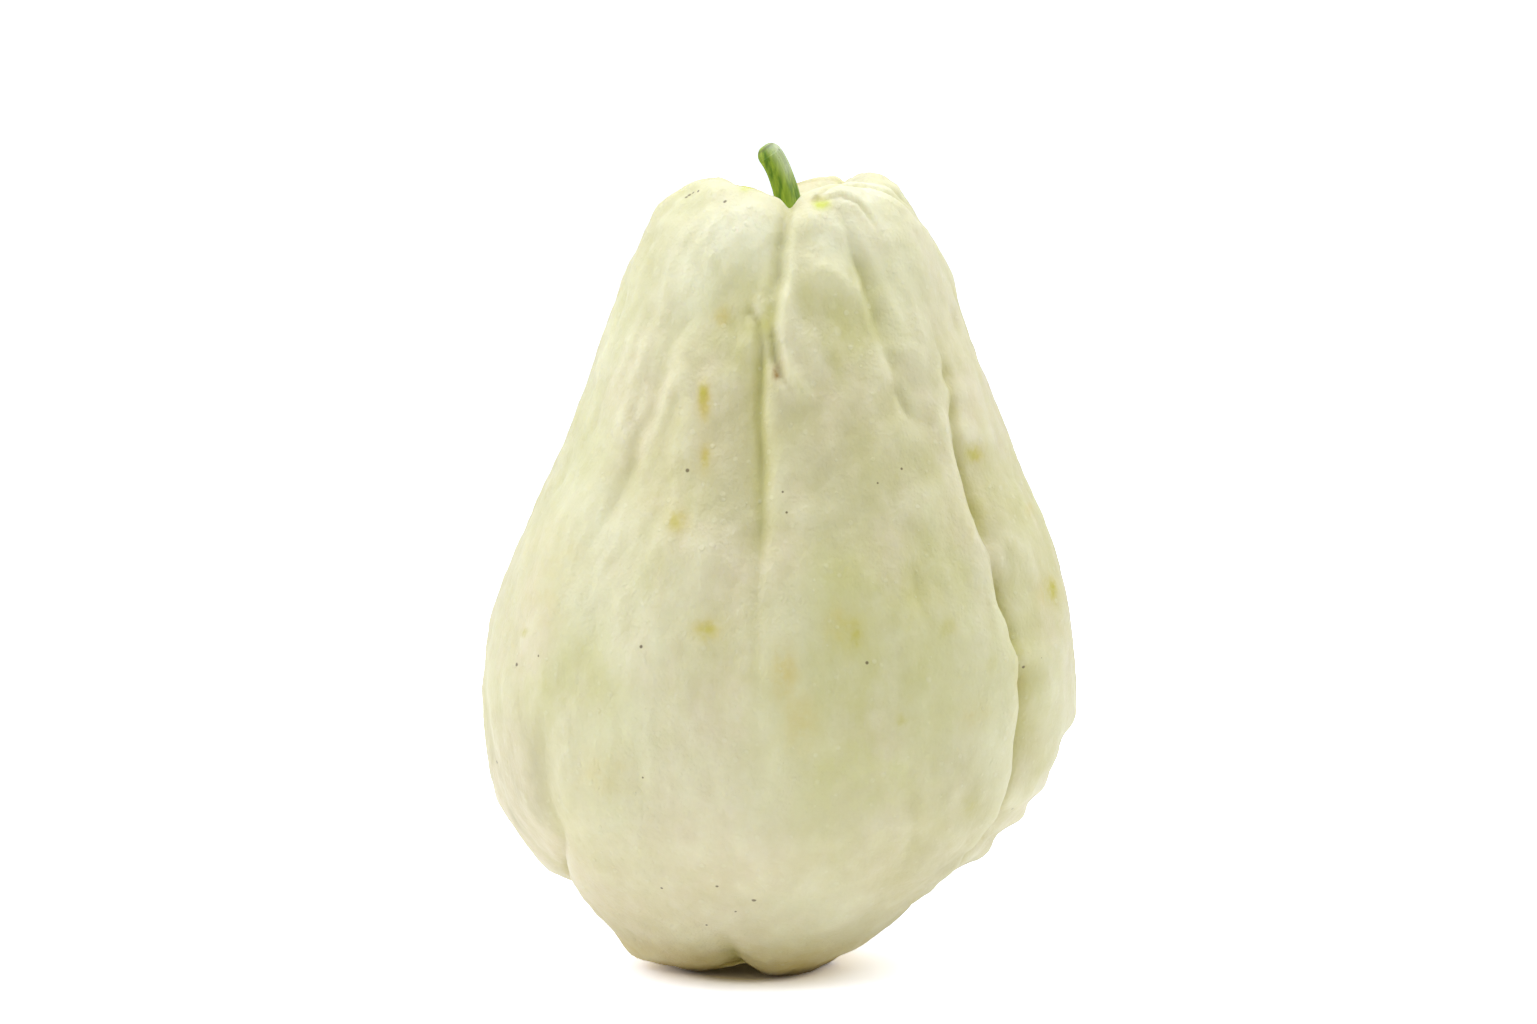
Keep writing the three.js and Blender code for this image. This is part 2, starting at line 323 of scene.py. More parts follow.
@dataclass(frozen=True)
class PhotoView:
    """The camera, placed as the photograph was taken.

    Attributes:
        columns: width of the photograph in pixels.
        rows: height of the photograph in pixels.
        pixel: size of a pixel at the fruit's middle.
        lens: focal length.
        sensor: width of the sensor.
        elevation: degrees that the camera looks down.
        target: point that the middle of the photograph shows.
    """

    columns: int = 1537
    rows: int = 1024
    pixel: float = 0.165
    lens: float = 100.0
    sensor: float = 36.0
    elevation: float = 7.0
    target: Triple = (-1.65, 0.0, 76.0)

    @property
    def focal_pixels(self) -> float:
        """Focal length in pixels."""
        return self.lens / self.sensor * self.columns

    @property
    def forward(self) -> np.ndarray:
        """Direction that the camera looks in."""
        angle = math.radians(self.elevation)
        return np.array([0, math.cos(angle), -math.sin(angle)])

    @property
    def place(self) -> np.ndarray:
        """Where the camera stands."""
        return np.array(self.target) - self.forward * self.focal_pixels * self.pixel

    def pixels_of(self, points: Points) -> tuple[Values, Values]:
        """Where the photograph shows points: their offset across and up over their depth.

        Args:
            points: places in the row's frame.

        Returns:
            Columns and rows in the photograph's own pixels.
        """
        offset = points - self.place
        upward = np.cross([1, 0, 0], self.forward)
        depth = offset @ self.forward
        column = self.columns / 2 + self.focal_pixels * offset[..., 0] / depth
        row = self.rows / 2 - self.focal_pixels * (offset @ upward) / depth
        return column, row

    def facing(self, normals: Points) -> Values:
        """1 where the skin faces the camera, falling to 0 where it turns away."""
        away, towards = -0.1, 0.25
        return smooth_step(-(normals @ self.forward), away, towards)

    def add_camera(self) -> bpy.types.Object:
        """Makes the scene's camera."""
        camera = bpy.data.cameras.new("photo_camera")
        camera.lens = self.lens
        camera.sensor_width = self.sensor
        holder = bpy.data.objects.new("photo_camera", camera)
        holder.location = Vector(self.place * METRES)
        holder.rotation_euler = Vector(self.forward).to_track_quat("-Z", "Y").to_euler()
        bpy.context.scene.collection.objects.link(holder)
        bpy.context.scene.camera = holder
        return holder


@dataclass(frozen=True)
class Mark:
    """A soft coloured mark, placed by the pixel of the photograph that shows its middle.

    Attributes:
        tint: its colour.
        column: column of its middle.
        row: row of its middle.
        wide: half its width in pixels.
        high: half its height in pixels.
        strength: from 0, unseen, to 1.
    """

    tint: Tint
    column: float
    row: float
    wide: float
    high: float
    strength: float

    def weight(self, column: Values, row: Values) -> Values:
        """A bell over the mark's width and height, flattened in its middle."""
        flattening = 1.3
        far = ((column - self.column) / self.wide) ** 2 + ((row - self.row) / self.high) ** 2
        return self.strength * np.exp(-(far**flattening))


@dataclass(frozen=True)
class BackMark:
    """A soft coloured mark on the sides or back, placed by station and angle.

    Attributes:
        tint: its colour.
        station: station of its middle.
        degrees: angle of its middle from the front.
        around: half its width round the fruit.
        along: half its height in stations.
        strength: from 0, unseen, to 1.
    """

    tint: Tint
    station: float
    degrees: float
    around: float
    along: float
    strength: float

    def weight(self, turn: Values, station: Values, radius: Values) -> Values:
        """A bell over the distances round and along the fruit."""
        sideways = distance_around(turn, self.degrees, radius) / self.around
        lengthways = (station - self.station) / self.along
        return self.strength * np.exp(-(sideways**2) - lengthways**2)


def closed_skin(name: str, rings: Points) -> bpy.types.Mesh:
    """A closed mesh over rings of points.

    The first and last ring each stand for one point, at their mean. Cells
    between rings are four-sided, with faces pointing out where the columns run
    to the right and the rings run up.

    Args:
        name: name of the mesh.
        rings: array of rings, columns and coordinates, in millimetres.

    Returns:
        The mesh, in metres. Its first vertices are the inner rings, row by row,
        and its last two are the ends.
    """
    inner = rings[1:-1]
    rows, columns = inner.shape[:2]
    ends = rings[[0, -1]].mean(1)
    points = np.concatenate([inner.reshape(-1, 3), ends]) * METRES
    low, high = rows * columns, rows * columns + 1
    here = np.arange(columns)
    after = (here + 1) % columns
    base = np.arange(rows - 1)[:, None] * columns
    cells = [base + here, base + after, base + columns + after, base + columns + here]
    quads = np.stack([np.broadcast_to(c, (rows - 1, columns)) for c in cells], -1).reshape(-1)
    top = (rows - 1) * columns
    caps = np.concatenate([
        np.stack([np.full(columns, low), after, here], -1).reshape(-1),
        np.stack([np.full(columns, high), top + here, top + after], -1).reshape(-1),
    ])
    corners = np.concatenate([quads, caps]).astype(np.int32)
    sizes = np.concatenate([np.full(len(quads) // 4, 4), np.full(len(caps) // 3, 3)])
    starts = np.concatenate([[0], np.cumsum(sizes)[:-1]]).astype(np.int32)
    mesh = bpy.data.meshes.new(name)
    mesh.vertices.add(len(points))
    mesh.vertices.foreach_set("co", points.astype(np.float32).reshape(-1))
    mesh.loops.add(len(corners))
    mesh.loops.foreach_set("vertex_index", corners)
    mesh.polygons.add(len(sizes))
    mesh.polygons.foreach_set("loop_start", starts)
    mesh.update(calc_edges=True)
    mesh.shade_smooth()
    return mesh


def set_attribute(mesh: bpy.types.Mesh, name: str, values: Values) -> None:
    """Stores one number for each vertex, from values given for each ring and column."""
    inner = values[1:-1].reshape(-1)
    ends = values[[0, -1]].mean(1)
    layer = mesh.attributes.new(name, "FLOAT", "POINT")
    layer.data.foreach_set("value", np.concatenate([inner, ends]).astype(np.float32))


def add_piece(mesh: bpy.types.Mesh, node: str) -> bpy.types.Object:
    """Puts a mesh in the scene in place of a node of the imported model.

    Args:
        mesh: the finished mesh, its place in its own points.
        node: the node that it stands for.

    Returns:
        The new object.
    """
    piece = bpy.data.objects.new(mesh.name, mesh)
    bpy.context.scene.collection.objects.link(piece)
    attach(piece, "root")
    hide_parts(node)
    return piece


def middle_of(points: Points) -> np.ndarray:
    """Middle of the box round points, across and deep, with no height."""
    flat = points.reshape(-1, 3)
    middle = (flat.min(0) + flat.max(0)) / 2
    middle[2] = 0
    return middle


class Shading:
    """Adds nodes to one node tree, and links whatever they are given.

    Attributes:
        tree: the node tree.
    """

    def __init__(self, tree: bpy.types.NodeTree) -> None:
        """Starts on a tree."""
        self.tree = tree

    def add(self, kind: str, inputs: Inputs | None = None, **settings: Any) -> bpy.types.Node:
        """Adds a node.

        Args:
            kind: Blender's name for the node, without ShaderNode.
            inputs: for each socket's name or number, a value or another socket.
            settings: values of the node's own properties.

        Returns:
            The new node.
        """
        node = self.tree.nodes.new("ShaderNode" + kind)
        for name, value in settings.items():
            setattr(node, name, value)
        for key, value in (inputs or {}).items():
            self.feed(node.inputs[key], value)
        return node

    def feed(self, socket: bpy.types.NodeSocket, value: Any) -> None:
        """Gives a socket a value of its own, or links another socket to it."""
        if isinstance(value, bpy.types.NodeSocket):
            self.tree.links.new(value, socket)
        else:
            socket.default_value = value

    def math(self, operation: str, a: Any, b: Any = 0.0) -> bpy.types.NodeSocket:
        """The result of a sum on one or two values."""
        return self.add("Math", {0: a, 1: b}, operation=operation).outputs[0]

    def spread(self, value: Any, low: float, high: float, to_low: float = 0.0,
               to_high: float = 1.0) -> bpy.types.NodeSocket:
        """A value moved smoothly from one range to another, and held at its ends."""
        inputs = {"Value": value, "From Min": low, "From Max": high, "To Min": to_low, "To Max": to_high}
        return self.add("MapRange", inputs, interpolation_type="SMOOTHSTEP").outputs["Result"]

    def blend(self, share: Any, a: Any, b: Any) -> bpy.types.NodeSocket:
        """Colour a turned to colour b by a share."""
        node = self.add("Mix", {"Factor": share, 6: a, 7: b}, data_type="RGBA")
        return node.outputs[2]

    def layers(self, ground: Any, rows: Sequence[tuple[Any, float, Any]]) -> bpy.types.NodeSocket:
        """Colours laid over a ground one by one, from rows of mask, share and colour."""
        for mask, share, tone in rows:
            ground = self.blend(self.math("MULTIPLY", mask, share), ground, tone)
        return ground

    def attribute(self, name: str) -> bpy.types.NodeSocket:
        """A value stored at the mesh's vertices."""
        return self.add("Attribute", attribute_name=name).outputs["Fac"]

    def distance(self, place: Any, middle: Triple) -> bpy.types.NodeSocket:
        """Distance from a point."""
        return self.add("VectorMath", {0: place, 1: middle}, operation="DISTANCE").outputs["Value"]

    def group(self, tree: bpy.types.NodeTree, inputs: Inputs) -> bpy.types.NodeSocket:
        """The output of a node group, placed with its own values."""
        node = self.tree.nodes.new("ShaderNodeGroup")
        node.node_tree = tree
        for key, value in inputs.items():
            self.feed(node.inputs[key], value)
        return node.outputs[0]


class GroupTree(Shading):
    """A node group that is being built.

    Attributes:
        given: its input sockets, by name.
    """

    def __init__(self, name: str, inputs: str) -> None:
        """Starts a group with number inputs, and vector ones where the name says so."""
        super().__init__(bpy.data.node_groups.new(name, "ShaderNodeTree"))
        for label in inputs.split():
            kind = "NodeSocketVector" if label in ("Vector", "Stretch") else "NodeSocketFloat"
            self.tree.interface.new_socket(label, in_out="INPUT", socket_type=kind)
        self.given = self.tree.nodes.new("NodeGroupInput").outputs

    def noise(self, vector: Any, scale: Any, detail: float = 2.0) -> bpy.types.NodeSocket:
        """Noise round a half."""
        return self.add("TexNoise", {"Vector": vector, "Scale": scale, "Detail": detail}).outputs["Fac"]

    def drawn_out(self) -> bpy.types.NodeSocket:
        """The given place, drawn out by the given stretch."""
        inputs = {0: self.given["Vector"], 1: self.given["Stretch"]}
        return self.add("VectorMath", inputs, operation="MULTIPLY").outputs[0]

    def finish(self, name: str, value: bpy.types.NodeSocket) -> bpy.types.NodeTree:
        """Puts out a value, and returns the group."""
        self.tree.interface.new_socket(name, in_out="OUTPUT", socket_type="NodeSocketFloat")
        self.tree.links.new(value, self.tree.nodes.new("NodeGroupOutput").inputs[name])
        return self.tree


class PlantEffects:
    """Node groups that the skin and the stem share, each built once.

    Attributes:
        mottle: patches of two sizes, drawn out along the plant.
        specks: scattered round dots.
        grain: fine relief of the surface.
    """

    def __init__(self) -> None:
        """Builds the three groups."""
        self.mottle = self._mottle()
        self.specks = self._specks()
        self.grain = self._grain()

    @staticmethod
    def _mottle() -> bpy.types.NodeTree:
        """Patches: slow noise plus half as much noise of a third the size, made to run from 0 to 1."""
        finer, finer_share, middle = 3.1, 0.5, 0.5
        group = GroupTree("plant_mottle", "Vector Scale Stretch Contrast")
        drawn = group.drawn_out()
        slow = group.noise(drawn, group.given["Scale"])
        quick = group.noise(drawn, group.math("MULTIPLY", group.given["Scale"], finer), 3.0)
        part = group.math("MULTIPLY", group.math("SUBTRACT", quick, middle), finer_share)
        centred = group.math("ADD", group.math("SUBTRACT", slow, middle), part)
        scaled = group.math("MULTIPLY", centred, group.given["Contrast"])
        return group.finish("Mask", group.spread(scaled, -middle, middle))

    @staticmethod
    def _specks() -> bpy.types.NodeTree:
        """Dots: the nearest cell point is closer than a radius that differs from cell to cell."""
        least, soft_edge = 0.35, 0.5
        group = GroupTree("plant_specks", "Vector Scale Radius Share")
        given = group.given
        inputs = {"Vector": given["Vector"], "Scale": given["Scale"], "Randomness": 1.0}
        cell = group.add("TexVoronoi", inputs)
        draws = group.add("SeparateColor", {0: cell.outputs["Color"]}).outputs
        chosen = group.math("LESS_THAN", draws[0], given["Share"])
        radius = group.math("MULTIPLY", given["Radius"], group.spread(draws[1], 0.0, 1.0, least))
        close = group.math("SUBTRACT", 1.0, group.math("DIVIDE", cell.outputs["Distance"], radius))
        soft = group.spread(close, 0.0, soft_edge)
        return group.finish("Mask", group.math("MULTIPLY", soft, chosen))

    @staticmethod
    def _grain() -> bpy.types.NodeTree:
        """Relief: fine noise plus a little of noise four times as fine."""
        finer, finer_share = 4.0, 0.3
        group = GroupTree("plant_grain", "Vector Scale Stretch")
        drawn = group.drawn_out()
        coarse = group.noise(drawn, group.given["Scale"])
        fine = group.noise(drawn, group.math("MULTIPLY", group.given["Scale"], finer))
        return group.finish("Height", group.math("ADD", coarse, group.math("MULTIPLY", fine, finer_share)))


def colour(red: int, green: int, blue: int) -> Colour:
    """A screen colour as the linear colour that shaders take, by the usual screen curve."""
    screen = np.array([red, green, blue]) / 255
    linear = np.where(screen > 0.04045, ((screen + 0.055) / 1.055) ** 2.4, screen / 12.92)
    return (float(linear[0]), float(linear[1]), float(linear[2]), 1.0)


def new_material(name: str) -> tuple[bpy.types.Material, Shading]:
    """A new material, and what adds nodes to it."""
    material = bpy.data.materials.new(name)
    material.use_nodes = True
    return material, Shading(material.node_tree)


def dress(material: bpy.types.Material, shading: Shading, inputs: Inputs) -> None:
    """Gives the material's own shader its values and links."""
    shader = material.node_tree.nodes["Principled BSDF"]
    for name, value in inputs.items():
        shading.feed(shader.inputs[name], value)


@dataclass(frozen=True)
class SkinFinish:
    """Pale waxy skin of the fruit.

    Attributes:
        cream: warm ground colour.
        green: cool ground colour.
        crown: paler, greener colour of the shoulder round the stem, which also paints light from above.
        crease: yellow-green of the folds, darkened to paint their shade; the hollows take it too as painted
            shade.
        warm: ground colour of the lower part.
        foot: ochre of the underside, with painted shade where it nears the floor.
        under: dark brown of the painted shade where the fruit meets the floor.
        ochre: colour of ripe patches.
        yellow: colour of the strongest spots.
        lemon: colour of the spots beside the stem.
        leaf: colour of green patches, which in the neck's hollow also paint its shade.
        brown: colour of the scar in the front crease.
        pale: colour of light patches, also used as painted highlight on the ridges, on tiny glints and on the
            lit parts of the front.
        painted_shade: greyish colour of the marks that paint shade on the front.
        speck: colour of the tiny dots.
        specks: the photograph's column and row of each single dot, and its radius in millimetres.
        settings: plain values of the shader.
    """

    cream: Colour = colour(220, 211, 182)
    green: Colour = colour(211, 211, 172)
    crown: Colour = colour(232, 232, 205)
    crease: Colour = colour(186, 182, 100)
    warm: Colour = colour(220, 208, 178)
    foot: Colour = colour(204, 175, 80)
    under: Colour = colour(124, 98, 48)
    ochre: Colour = colour(206, 192, 118)
    yellow: Colour = colour(190, 184, 70)
    lemon: Colour = colour(206, 214, 96)
    leaf: Colour = colour(197, 195, 126)
    brown: Colour = colour(158, 122, 62)
    pale: Colour = colour(236, 236, 210)
    painted_shade: Colour = colour(186, 180, 148)
    speck: Colour = colour(92, 76, 48)
    specks: tuple[Triple, ...] = (
        (687, 468, 0.42), (785, 513, 0.26), (641, 647, 0.36), (540, 653, 0.26), (517, 668, 0.4),
        (867, 666, 0.36), (497, 762, 0.36), (752, 900, 0.5), (717, 887, 0.34), (1012, 808, 0.32),
        (1022, 668, 0.36), (901, 468, 0.28), (725, 201, 0.42), (784, 493, 0.24), (876, 482, 0.22),
        (707, 925, 0.26), (662, 889, 0.3), (643, 776, 0.22), (735, 913, 0.25), (686, 196, 0.36),
        (689, 194, 0.42), (693, 193, 0.32), (698, 191, 0.32), (703, 189, 0.38), (708, 187, 0.28),
        (714, 186, 0.38),
    )
    settings: tuple[tuple[str, Any], ...] = (
        ("Subsurface Weight", 0.45), ("Subsurface Radius", (1.0, 0.85, 0.45)), ("Subsurface Scale", 0.003),
        ("Coat Weight", 0.06), ("Coat Roughness", 0.3), ("Specular IOR Level", 0.35),
    )

    def material(self, effects: PlantEffects, dots: Points) -> bpy.types.Material:
        """Builds the skin.

        Args:
            effects: the shared node groups.
            dots: middle and radius of each single dot, in metres.

        Returns:
            The material.
        """
        material, shading = new_material("pale_waxy_skin")
        place = shading.add("TexCoord").outputs["Object"]

        def mottle(scale: float, contrast: float, upright: float = 1.0) -> bpy.types.NodeSocket:
            """Patches of the shared kind over this skin."""
            inputs = {"Vector": place, "Scale": scale, "Stretch": (1.0, 1.0, upright), "Contrast": contrast}
            return shading.group(effects.mottle, inputs)

        def scattered(scale: float, radius: float, share: float) -> bpy.types.NodeSocket:
            """Dots of the shared kind over this skin."""
            inputs = {"Vector": place, "Scale": scale, "Radius": radius, "Share": share}
            return shading.group(effects.specks, inputs)

        def broken(name: str, mask: bpy.types.NodeSocket, low: float, high: float) -> bpy.types.NodeSocket:
            """A stored mark whose edge is broken up by patches."""
            factor = shading.spread(mask, 0.0, 1.0, low, high)
            product = shading.math("MULTIPLY", shading.attribute(name), factor)
            return shading.add("Clamp", {0: product}).outputs[0]

        middling = mottle(85.0, 1.8, 0.55)
        small = mottle(260.0, 1.6)
        ground = shading.blend(mottle(28.0, 2.2, 0.55), self.cream, self.green)
        ground = shading.layers(ground, (
            (middling, 0.46, self.leaf), (small, 0.22, self.pale), (mottle(620.0, 1.6, 0.6), 0.22, self.leaf),
            # The crown row is the shoulder's paler tone and also paints light from above.
            (mottle(300.0, 2.0, 0.12), 0.12, self.cream), (shading.attribute("crown"), 0.25, self.crown),
            # The foot row is the underside's ochre, with painted shade near the floor.
            (shading.attribute("low"), 0.5, self.warm), (shading.attribute("foot"), 0.8, self.foot),
            # The under row paints the shade where the fruit meets the floor, and the valley row paints shade
            # in the hollows.
            (shading.attribute("under"), 0.85, self.under), (shading.attribute("valley"), 0.35, self.crease),
            # The ridge row paints highlight on the ridges.
            (shading.attribute("ridge"), 0.36, self.pale),
        ))
        # Of these marks, the pale ones partly paint light, the greyish ones paint shade, and the green ones
        # in the neck also paint its shade.
        for tint, patch, tone in (
            (Tint.PALE_AND_HIGHLIGHT, middling, self.pale), (Tint.PAINTED_SHADE, middling, self.painted_shade),
            (Tint.GREEN, middling, self.leaf), (Tint.OCHRE, small, self.ochre),
            (Tint.YELLOW, small, self.yellow), (Tint.LEMON, small, self.lemon),
            (Tint.BROWN, small, self.brown),
        ):
            ground = shading.blend(broken(tint.value, patch, 0.3, 1.5), ground, tone)
        # The folds' yellow-green tint, which also paints the shade in them.
        ground = shading.blend(broken("crease", middling, 0.2, 0.7), ground, self.crease)
        # Small pale dots: bumps in the relief, with painted glints in their colour.
        pores_and_glints = scattered(560.0, 0.34, 0.4)
        flecks_and_glints = shading.math("MULTIPLY", scattered(230.0, 0.3, 0.5), shading.attribute("crown"))
        ground = shading.layers(ground, (
            (pores_and_glints, 0.2, self.crown), (flecks_and_glints, 0.25, self.pale),
            (scattered(190.0, 0.055, 0.05), 0.75, self.speck),
            (self.single_dots(shading, place, dots), 0.8, self.speck),
        ))
        grain = {"Vector": place, "Scale": 520.0, "Stretch": (1.0, 1.0, 0.8)}
        relief = shading.group(effects.grain, grain)
        raised = shading.math("ADD", relief, shading.math("MULTIPLY", pores_and_glints, 0.2))
        raised = shading.math("ADD", raised, shading.math("MULTIPLY", flecks_and_glints, 0.12))
        bump = shading.add("Bump", {"Strength": 0.7, "Distance": 0.0005, "Height": raised})
        inputs = {
            "Base Color": ground, "Roughness": shading.spread(middling, 0.0, 1.0, 0.36, 0.52),
            "Normal": bump.outputs["Normal"],
        }
        dress(material, shading, {**dict(self.settings), **inputs})
        return material

    @staticmethod
    def single_dots(shading: Shading, place: Any, dots: Points) -> bpy.types.NodeSocket:
        """1 in the middle of each single dot, fading over the outer part of its radius."""
        inner = 0.45
        single = None
        for *middle, radius in dots.tolist():
            dot = shading.spread(shading.distance(place, middle), radius * inner, radius, 1.0, 0.0)
            single = dot if single is None else shading.math("MAXIMUM", single, dot)
        return single


@dataclass(frozen=True)
class StemFinish:
    """Green ribbed skin of the stem, with a greyish bloom that also paints a sheen on its right side, and a
    paler cut.

    Attributes:
        green: colour between the ribs.
        light: colour along the ribs.
        bloom_and_sheen: colour of the waxy bloom, which also paints a sheen on the stem's right side.
        cut: colour of the cut face.
        rim: colour of the dried edge round the cut.
        speck: colour of the tiny dots.
        settings: plain values of the shader.
    """

    green: Colour = colour(90, 130, 10)
    light: Colour = colour(164, 190, 56)
    bloom_and_sheen: Colour = colour(206, 216, 184)
    cut: Colour = colour(160, 176, 116)
    rim: Colour = colour(92, 92, 58)
    speck: Colour = colour(72, 88, 34)
    settings: tuple[tuple[str, Any], ...] = (
        ("Subsurface Weight", 0.15), ("Subsurface Radius", (0.6, 1.0, 0.3)), ("Subsurface Scale", 0.001),
    )

    def material(self, effects: PlantEffects) -> bpy.types.Material:
        """Builds the stem's skin from the shared node groups."""
        material, shading = new_material("ribbed_stem_skin")
        place = shading.add("TexCoord").outputs["Object"]
        drawn = {"Vector": place, "Scale": 700.0, "Stretch": (1.0, 1.0, 0.15), "Contrast": 3.2}
        even = {"Vector": place, "Scale": 420.0, "Stretch": (1.0, 1.0, 0.6), "Contrast": 2.0}
        patches = shading.group(effects.mottle, even)
        ground = shading.blend(shading.group(effects.mottle, drawn), self.green, self.light)
        ground = shading.layers(ground, ((shading.attribute("rib"), 0.5, self.light),))
        patchy = shading.spread(patches, 0.0, 1.0, 0.6, 1.1)
        # The waxy bloom, which also paints a sheen on the stem's right side.
        waxy = shading.math("MULTIPLY", shading.attribute("bloom_and_sheen"), patchy)
        ground = shading.blend(waxy, ground, self.bloom_and_sheen)
        ground = shading.blend(shading.attribute("cut"), ground, self.cut)
        ground = shading.blend(shading.attribute("rim"), ground, self.rim)
        dots = {"Vector": place, "Scale": 900.0, "Radius": 0.3, "Share": 0.2}
        ground = shading.layers(ground, ((shading.group(effects.specks, dots), 0.4, self.speck),))
        fine = {"Vector": place, "Scale": 1500.0, "Stretch": (1.0, 1.0, 0.2)}
        relief = shading.group(effects.grain, fine)
        bump = shading.add("Bump", {"Strength": 0.5, "Distance": 0.0002, "Height": relief})
        inputs = {
            "Base Color": ground, "Roughness": shading.spread(patches, 0.0, 1.0, 0.42, 0.62),
            "Normal": bump.outputs["Normal"],
        }
        dress(material, shading, {**dict(self.settings), **inputs})
        return material


# Rows of station and share: the finer waves are strongest on the upper part.
UPPER_WAVES = ((0, 0.5), (5, 0.6), (9, 0.65), (12, 0.9), (14, 1.0), (16, 0.7), (19, 0.0))


